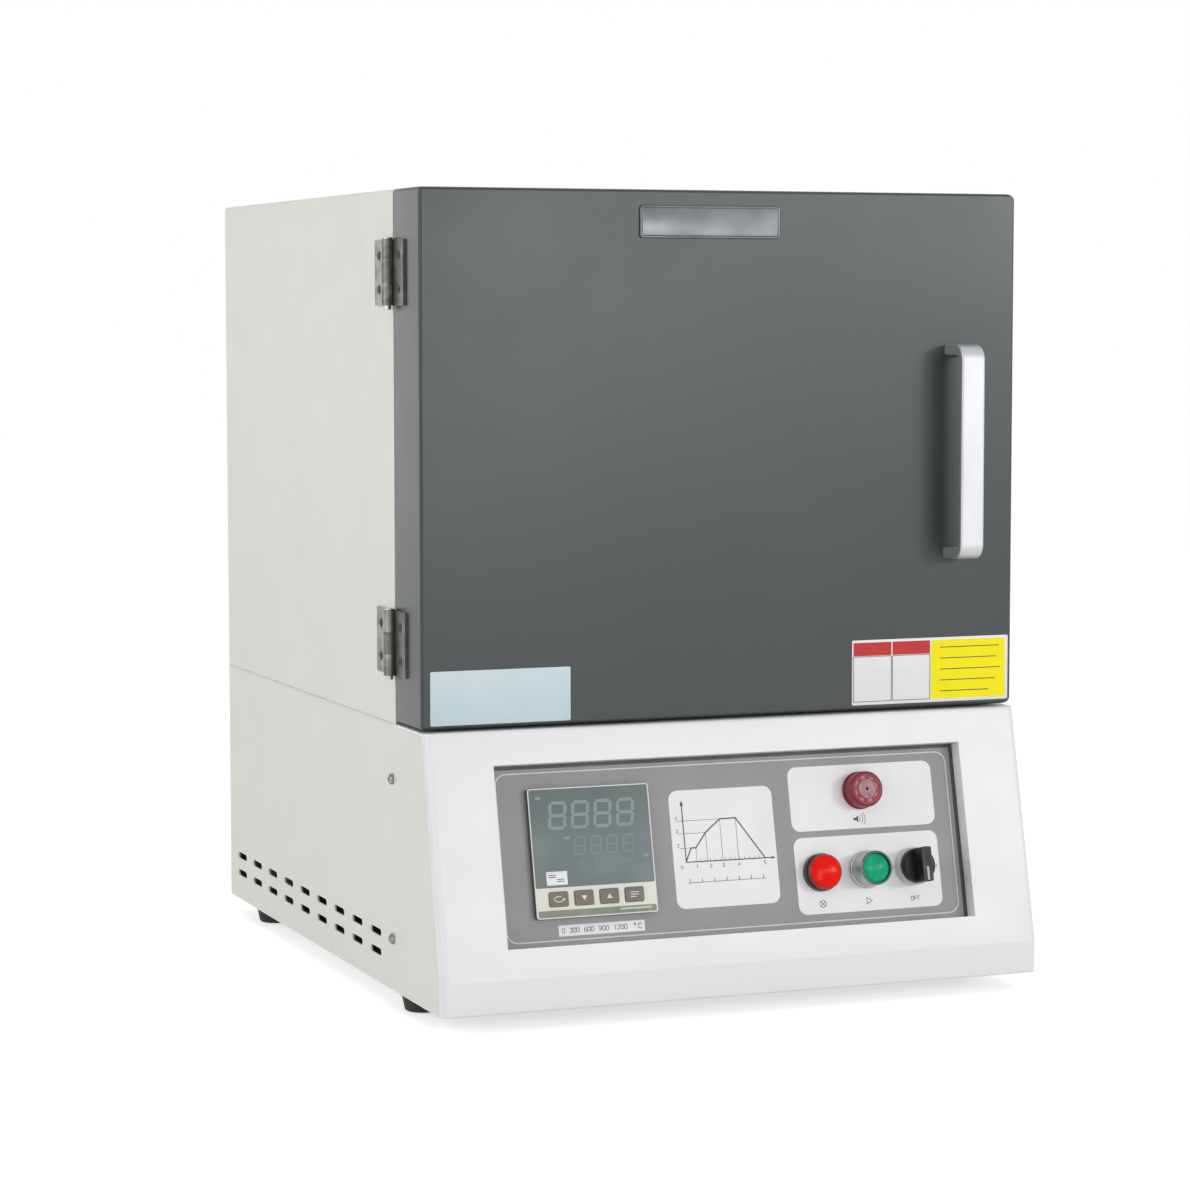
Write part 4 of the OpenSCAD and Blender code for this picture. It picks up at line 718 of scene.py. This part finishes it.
marks += [filled([(x, y - 1), (x + 2, y - 1), (x + 4, y - 2.6), (x + 4, y + 2.6), (x + 2, y + 1), (x, y + 1)])]
onPanel("device_marks", marks, "inkDark")

stripLook = dict(size=(68.3, 8.2), centre=(-111.55, -55.9), corner=0.4, top=0.45, edge=0.1, ink=0.46,
    words=(("0", -142.0), ("300", -133.4), ("600", -121.8), ("900", -110.2), ("1200", -96.8)))
strip = plate(stripLook["size"], stripLook["corner"], filmLook["top"], stripLook["top"], stripLook["edge"],
              stripLook["centre"])
addPiece("label_strip", strip, panelFace, "labelWhite")
stripMarks = lettered("oC", (-83.0, -57.8), 3.8, 0.5)
for word, x in stripLook["words"]:
    stripMarks += lettered(word, (x, -57.5), 3.2, 0.45, 1.2)
onPanel("label_strip_mark", stripMarks, "inkDark", stripLook["ink"])
print("panel film and cards done")

controllerCase = edged("controller_case", "bezelPlastic", 0.6)
edged("controller_window", "displayGlass", 0.0)
displayLook = dict(low=5.0, top=5.1, ink=5.12, film=(94.2, 72.6), filmCentre=(0, 10.9), slant=0.1,
    big=(11.8, 18.6, 2.5), bigAt=(-32.6, 18.2), bigStep=17.9, small=(7.8, 12.4, 1.7), smallAt=(-14.6, -1.8),
    smallStep=12.9, bars=((-40.2, 40.8), (-19.8, 10.8), (41.6, -5.6)), bar=(4.6, 2.2),
    dots=(-10, 2, 6, 15, 20, 25, 29), dot=(1.7, 1.7), dotsAt=-8.4, tag=(16.4, 10.1), tagAt=(-30.0, -18.6),
    tagLow=5.08, tagTop=5.2, tagInk=5.21, tagLines=((-36.5, -16.2), (-36.5, -17.7), (-30, -19.4), (-30, -21.0)),
    tagLine=5.6, strip=(93.4, 5.0), stripAt=(0.2, -44.6), stripThick=0.08, stripInk=5.09)


def secondFinish(piece, finish, chosen):
    # faces whose normal, in the panel's axes, passes the test take a second finish
    mesh = piece.data
    mesh.materials.append(bpy.data.materials[finish])
    count = len(mesh.polygons)
    normal = np.empty(count * 3)
    mesh.polygons.foreach_get("normal", normal)
    mesh.polygons.foreach_set("material_index", chosen(normal.reshape(-1, 3) @ panelFace["axes"].T).astype(int))


makeFinish("caseSide", (86, 86, 84), (70, 70, 69), cloud=14, grain=0.8, rough=0.45)
secondFinish(controllerCase, "caseSide", lambda normal: normal[:, 2] < 0.5)  # all but the front
film = plate(displayLook["film"], 1.2, displayLook["low"], displayLook["top"], 0.05,
             controllerAt + displayLook["filmCentre"])
addPiece("display_film", film, panelFace, "displayGlass")


def segmentDigit(x, y, w, h, t, slant):
    # seven bars with pointed ends: a bar is a hexagon from end to end, leaning by slant * height
    bars = [((0, h), (w, h)), ((w, h), (w, h / 2)), ((w, h / 2), (w, 0)), ((0, 0), (w, 0)), ((0, h / 2), (0, 0)),
            ((0, h), (0, h / 2)), ((0, h / 2), (w, h / 2))]
    made = []
    for start, end in bars:
        a, b = np.array(start, float), np.array(end, float)
        run = (b - a) / np.linalg.norm(b - a)
        side = np.array([-run[1], run[0]]) * t / 2
        a, b = a + run * t * 0.06, b - run * t * 0.06
        loop = np.array([a, a + run * t / 2 - side, b - run * t / 2 - side, b, b - run * t / 2 + side,
                         a + run * t / 2 + side])
        loop[:, 0] += loop[:, 1] * slant
        made.append(filled(loop + (x, y)))
    return made


def digitRow(kind):
    # four digits, digit i standing i steps along from the first
    at, step, size = displayLook[kind + "At"], displayLook[kind + "Step"], displayLook[kind]
    return [bar for i in range(4) for bar in segmentDigit(at[0] + i * step, at[1], *size, displayLook["slant"])]


def onController(name, parts, finish, height, thickness, body="cabinet", centre=(0, 0)):
    # flat art placed from the controller's middle
    moved = [(points + [*(controllerAt + centre), 0], faces) for points, faces in parts]
    return onPanel(name, moved, finish, height, thickness, body)


bigMarks = digitRow("big") + [block(displayLook["bar"], at) for at in displayLook["bars"]]
smallMarks = digitRow("small") + [block(displayLook["dot"], (x, displayLook["dotsAt"])) for x in displayLook["dots"]]
onController("display_digits", bigMarks, "inkUnlit", displayLook["ink"], 0.04)
onController("display_small_digits", smallMarks, "inkDim", displayLook["ink"], 0.04)
tag = plate(displayLook["tag"], 0.5, displayLook["tagLow"], displayLook["tagTop"], 0.05,
            controllerAt + displayLook["tagAt"])
addPiece("display_tag", tag, panelFace, "labelWhite")
tagMarks = [ribbon([(x, y), (x + displayLook["tagLine"], y)], 0.6) for x, y in displayLook["tagLines"]]
onController("display_tag_marks", tagMarks, "inkDark", displayLook["tagInk"], 0.03)
makeFinish("stripGrey", (122, 126, 112), (108, 112, 98), cloud=9, share=0.9, grain=0.8, rough=0.4)
strip = [block(displayLook["strip"], displayLook["stripAt"], 0.8, 3)]
onController("controller_strip", strip, "stripGrey", displayLook["low"], displayLook["stripThick"])
onController("controller_strip_mark", [ribbon([(18, -44.0), (43, -44.0)], 1.2)], "collarPlastic",
             displayLook["stripInk"], 0.03)

keyLook = dict(top=6.0, step=20.0, row=-34.0, ring=(3.6, 2.0), line=0.55, bar=0.6)
a = np.radians(np.linspace(60, 370, 24))
keyArt = {
    "key_1": [ribbon(np.stack([np.cos(a), np.sin(a)], -1) * keyLook["ring"], keyLook["line"]),
              filled([(2.4, 0.4), (5.0, 0.4), (3.7, -1.6)])],
    "key_2": [filled([(-2.2, 1.6), (2.2, 1.6), (0, -1.9)])],
    "key_3": [filled([(-2.2, -1.6), (2.2, -1.6), (0, 1.9)])],
    "key_4": [ribbon([(-3.4, y), (end, y)], keyLook["bar"]) for end, y in ((3.4, 1.7), (3.4, 0), (1.2, -1.7))],
}
for i, (nodeName, parts) in enumerate(keyArt.items()):
    edged(nodeName, "keyRubber", 0.7, 3)
    onController(nodeName + "_sign", parts, "inkKey", keyLook["top"], 0.06, nodeName,
                 ((i - 1.5) * keyLook["step"], keyLook["row"]))
print("controller done")


def crownProfile(look, steps=10):
    # up the side, round the rim, then inwards with h = top - crown * (r / R)^2, to a pole
    r, edge = look["radius"], look["rim"]
    shoulder = look["top"] - look["crown"]
    rim = arcProfile(r - edge, shoulder - edge, edge, 0, 80, 6)
    inner = np.linspace(rim[-1, 0], 0, steps)[1:]
    top = look["top"] - (look["top"] - rim[-1, 1]) * (inner / rim[-1, 0]) ** 2
    return np.concatenate([[(0, look["floor"]), (r, look["floor"])], rim, np.stack([inner, top], -1)])


def turnedPiece(name, profile, finish, body="cabinet", steps=96, flutes=0, fluteDepth=0.0):
    # a revolved profile on the axis of the device that its name starts with
    # flutes press waves into the outer tenth of the radius R: r * (1 - fluteDepth / R * (1 - cos(flutes * a)) / 2)
    points, faces = revolved(profile, steps)
    if flutes:
        a = np.arctan2(points[:, 1], points[:, 0])
        r = np.hypot(points[:, 0], points[:, 1])
        outer = np.clip((r - 0.9 * r.max()) / (0.1 * r.max()), 0, 1)
        points[:, :2] *= (1 - fluteDepth / r.max() * outer * (0.5 - 0.5 * np.cos(flutes * a)))[:, None]
    at = [*deviceAt[name.split("_")[0]], 0]
    return addPiece(name, (points + at, faces), panelFace, finish, body, 40)


edged("lamp_bezel", "bezelDark", 0.6, 3)
lampLook = dict(skirt=[(0, -6.0), (13.4, -6.0), (13.4, 10.4), (12.9, 10.9), (0, 10.9)], flutes=60, fluteDepth=0.25,
    dome=dict(radius=12.7, floor=10.8, top=14.0, crown=1.4, rim=1.8))
# the skirt takes the darker red: painted shade on the side of the lens
skirt = turnedPiece("lamp_skirt", lampLook["skirt"], "lensDeep", steps=120, flutes=lampLook["flutes"],
                    fluteDepth=lampLook["fluteDepth"])
turnedPiece("lamp_dome", crownProfile(lampLook["dome"]), "lensRed")
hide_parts("lamp_lens")

edged("buzzer_body", "buzzerPlastic", 0.5)
edged("buzzer_cap", "buzzerPlastic")
buzzerLook = dict(disc=[(1.1, 14.6), (1.1, 15.3), *arcProfile(6.9, 15.0, 0.4, 90, 0, 5), (7.3, 14.6), (1.1, 14.6)],
    mesh=[(7.6, 13.6), (10.4, 13.6), (10.4, 14.0), (7.6, 14.0), (7.6, 13.6)])
turnedPiece("buzzer_disc", buzzerLook["disc"], "buzzerPale")
turnedPiece("buzzer_mesh", buzzerLook["mesh"], "buzzerMesh")

startLook = dict(
    guard=[(8.05, -2.0), (14.0, -2.0), (14.0, 2.4), *arcProfile(13.6, 2.6, 0.8, 0, 90, 4), (13.4, 4.2), (13.1, 6.2),
           *arcProfile(12.5, 17.9, 0.6, 0, 90, 5), (11.5, 18.5), (11.5, 5.0), (8.05, 5.0), (8.05, -2.0)],
    # a dark green ring between the cap and the guard: painted reflection of the green cap in the guard, with painted
    # shade in the gap
    seal=[(11.5, 17.6), (12.9, 17.6), *arcProfile(12.4, 18.5, 0.5, 0, 90, 4), (11.5, 19.0), (11.5, 17.6)],
    barrel=[(8.05, -24.0), (11.0, -24.0), (11.0, -1.9), (8.05, -1.9), (8.05, -24.0)],
    cap=dict(radius=11.2, floor=9.3, top=18.9, crown=1.4, rim=1.4),
    stem=[(0, -12), (8.0, -12), (8.0, 9.6), (0, 9.6)])
bezel = turnedPiece("start_guard", startLook["guard"], "guardMetal")
turnedPiece("start_seal", startLook["seal"], "sealGreen")
turnedPiece("start_barrel", startLook["barrel"], "darkPlastic")
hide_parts("start_bezel")
cap = turnedPiece("start_cap", crownProfile(startLook["cap"]), "buttonGreen", "start_button")
turnedPiece("start_stem", startLook["stem"], "darkPlastic", "start_button")
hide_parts("start_button")

edged("selector_collar", "collarPlastic", 0.7, 3)
edged("selector_knob", "knobPlastic", 0.9, 3)
knobLine = dict(size=(1.7, 10.2), down=7.0, height=27.3, corner=0.5)
x, y = deviceAt["selector"]
onPanel("selector_line", [block(knobLine["size"], (x, y - knobLine["down"]), knobLine["corner"], 3)], "lineGrey",
        knobLine["height"], body="selector_knob")
print("devices done")

edged("fan_frame", "darkPlastic", 0.5)
edged("fan_guard", "screwSteel", 0.0, sharp=50)
edged("fan_rotor", "darkPlastic", 0.3)
edged("cable_gland", "darkPlastic", 0.5)
backLook = dict(sideScrews=(231.0, (9.0, 131.0, 258.0, 385.0, -9.0, -193.0)),
    rowScrews=(77.0, (385.0, 9.0, -9.0, -193.0)), plate=(92.0, 56.0), plateAt=(6.0, -96.0), plateTop=0.8,
    rivetAt=(42, 24), border=(84, 48), rules=(16, 8, 0, -8, -16), ruleHalf=36, rule=0.5)
backScrews = [(way * backLook["sideScrews"][0], z) for way in (-1, 1) for z in backLook["sideScrews"][1]]
backScrews += [(way * backLook["rowScrews"][0], z) for way in (-1, 1) for z in backLook["rowScrews"][1]]
heads = panScrews(backScrews, headRadius=3.8, rise=1.9, slotDepth=1.0)
addPiece("back_screws", heads, backFace, "screwSteel")
fanLook = dict(middle=(-130.0, -92.5), hole=35.75, eyelet=2.4)
fanScrews = [(fanLook["middle"][0] + x * fanLook["hole"], fanLook["middle"][1] + z * fanLook["hole"])
             for x in (-1, 1) for z in (-1, 1)]
heads = panScrews(fanScrews, headRadius=3.3, rise=1.6, slotDepth=0.9)
addPiece("fan_screws", heads, backFace, "screwSteel", lift=fanLook["eyelet"])
addPiece("rating_plate", plate(backLook["plate"], 3.0, 0.0, backLook["plateTop"], 0.3, backLook["plateAt"]), backFace,
         "plateMetal")
plateMiddle, (rivetX, rivetY) = np.array(backLook["plateAt"]), backLook["rivetAt"]
dome = arcProfile(0, 0.7, 1.8, 8, 82, 6) * [1, 0.6] + [0, 0.28]  # a flattened quarter round
rivets = joined([revolved([(0, 0.7), (1.8, 0.7), *dome, (0, 1.9)], 24, plateMiddle + (x, y))
                 for x in (-rivetX, rivetX) for y in (-rivetY, rivetY)])
addPiece("rating_rivets", rivets, backFace, "screwSteel")
half, high = backLook["ruleHalf"], backLook["rules"][0]
rules = [[(-half, y), (half, y)] for y in backLook["rules"]] + [[(0, high), (0, -high)]]
fields = [ribbon(plateMiddle + rule, backLook["rule"]) for rule in rules]
fields += [ribbon(plateMiddle + roundedLoop(*backLook["border"], 1.5), backLook["rule"], True)]
printed("rating_lines", fields, backFace, backLook["plateTop"], "inkDark", thickness=0.03)
print("rear fittings done")

cameraLook = dict(place=(-1.0191, -2.5896, 0.5225), yaw=0.3725, pitch=-0.0834, roll=0.00065, lens=102.46)
camera = bpy.data.objects.new("camera", bpy.data.cameras.new("camera"))
camera.location = cameraLook["place"]
camera.rotation_euler = (math.pi / 2 + cameraLook["pitch"], cameraLook["roll"], -cameraLook["yaw"])
camera.data.lens = cameraLook["lens"]
camera.data.sensor_width = 36.0
camera.data.clip_end = 60.0
scene.collection.objects.link(camera)
scene.camera = camera


def seenOrMirrored(tree):
    # 1 for rays that the eye, a gloss or a clear body sends out, 0 for the rays that light things
    rays = addNode(tree, "ShaderNodeLightPath").outputs
    both = mathOf(tree, "MAXIMUM", rays["Is Camera Ray"], rays["Is Glossy Ray"])
    return mathOf(tree, "MAXIMUM", both, rays["Is Transmission Ray"])


lightLook = dict(ambient=0.48, paper=1.0, floorShine=0.52, floorShade=1.0, floorBounce=0.88, floorHalf=12.0,
    floorDrop=0.0005)
world = bpy.data.worlds.new("studio")
scene.world = world
world.use_nodes = True
tree = world.node_tree
tree.nodes.clear()
room = addNode(tree, "ShaderNodeBackground", {"Color": (1, 1, 1, 1), "Strength": lightLook["ambient"]})
paper = addNode(tree, "ShaderNodeBackground", {"Color": (1, 1, 1, 1), "Strength": lightLook["paper"]})
mixed = addNode(tree, "ShaderNodeMixShader", {0: seenOrMirrored(tree), 1: room.outputs[0], 2: paper.outputs[0]})
addNode(tree, "ShaderNodeOutputWorld", {"Surface": mixed.outputs[0]})

floorMat = bpy.data.materials.new("floorPaper")
floorMat.use_nodes = True
tree = floorMat.node_tree
tree.nodes.clear()
bounce = addNode(tree, "ShaderNodeBsdfDiffuse", {"Color": (lightLook["floorBounce"],) * 3 + (1,)})
shade = addNode(tree, "ShaderNodeBsdfDiffuse", {"Color": (lightLook["floorShade"],) * 3 + (1,)})
shine = addNode(tree, "ShaderNodeEmission", {"Color": (1, 1, 1, 1), "Strength": lightLook["floorShine"]})
seen = addNode(tree, "ShaderNodeAddShader", {0: shade.outputs[0], 1: shine.outputs[0]})
mixed = addNode(tree, "ShaderNodeMixShader", {0: seenOrMirrored(tree), 1: bounce.outputs[0], 2: seen.outputs[0]})
addNode(tree, "ShaderNodeOutputMaterial", {"Surface": mixed.outputs[0]})
floorMesh = bpy.data.meshes.new("floor")
corners = [(x * lightLook["floorHalf"], y * lightLook["floorHalf"], -lightLook["floorDrop"])
           for x, y in ((-1, -1), (1, -1), (1, 1), (-1, 1))]
floorMesh.from_pydata(corners, [], [(0, 1, 2, 3)])
floorMesh.materials.append(floorMat)
floor = bpy.data.objects.new("floor", floorMesh)
scene.collection.objects.link(floor)

# each lamp: its place, what it faces, its width and height in metres, and its power
lamps = {"doorSheen": ((1.45, -2.8, 0.87), (0.3, -0.25, 0.7), (2.0, 0.36), 15.3),
         "cornerSoft": ((2.0, -2.75, 0.95), (0.24, -0.25, 0.6), (0.6, 0.4), 10.0),
         "edgeStrip": ((0.46, -3.0, 0.6), (-0.2, -0.25, 0.4), (0.26, 0.9), 6.5),
         "fillLeft": ((-2.6, -0.9, 1.05), (-0.1, 0.0, 0.2), (1.8, 1.6), 21.0),
         "backLeft": ((-1.6, 2.5, 0.8), (-0.2, -0.1, 0.3), (1.5, 1.3), 4.0),
         "topSoft": ((0.0, 0.2, 2.8), (0.0, 0.0, 0.0), (2.4, 2.4), 14.0)}
for word, (place, target, size, power) in lamps.items():
    lamp = bpy.data.lights.new(word, "AREA")
    lamp.shape = "RECTANGLE"
    lamp.size, lamp.size_y = size
    lamp.energy = power
    holder = bpy.data.objects.new(word, lamp)
    holder.location = place
    holder.rotation_euler = (Vector(target) - Vector(place)).to_track_quat("-Z", "Y").to_euler()
    holder.visible_camera = False
    scene.collection.objects.link(holder)
scene.view_settings.view_transform = "Standard"
print("camera, floor and light done")
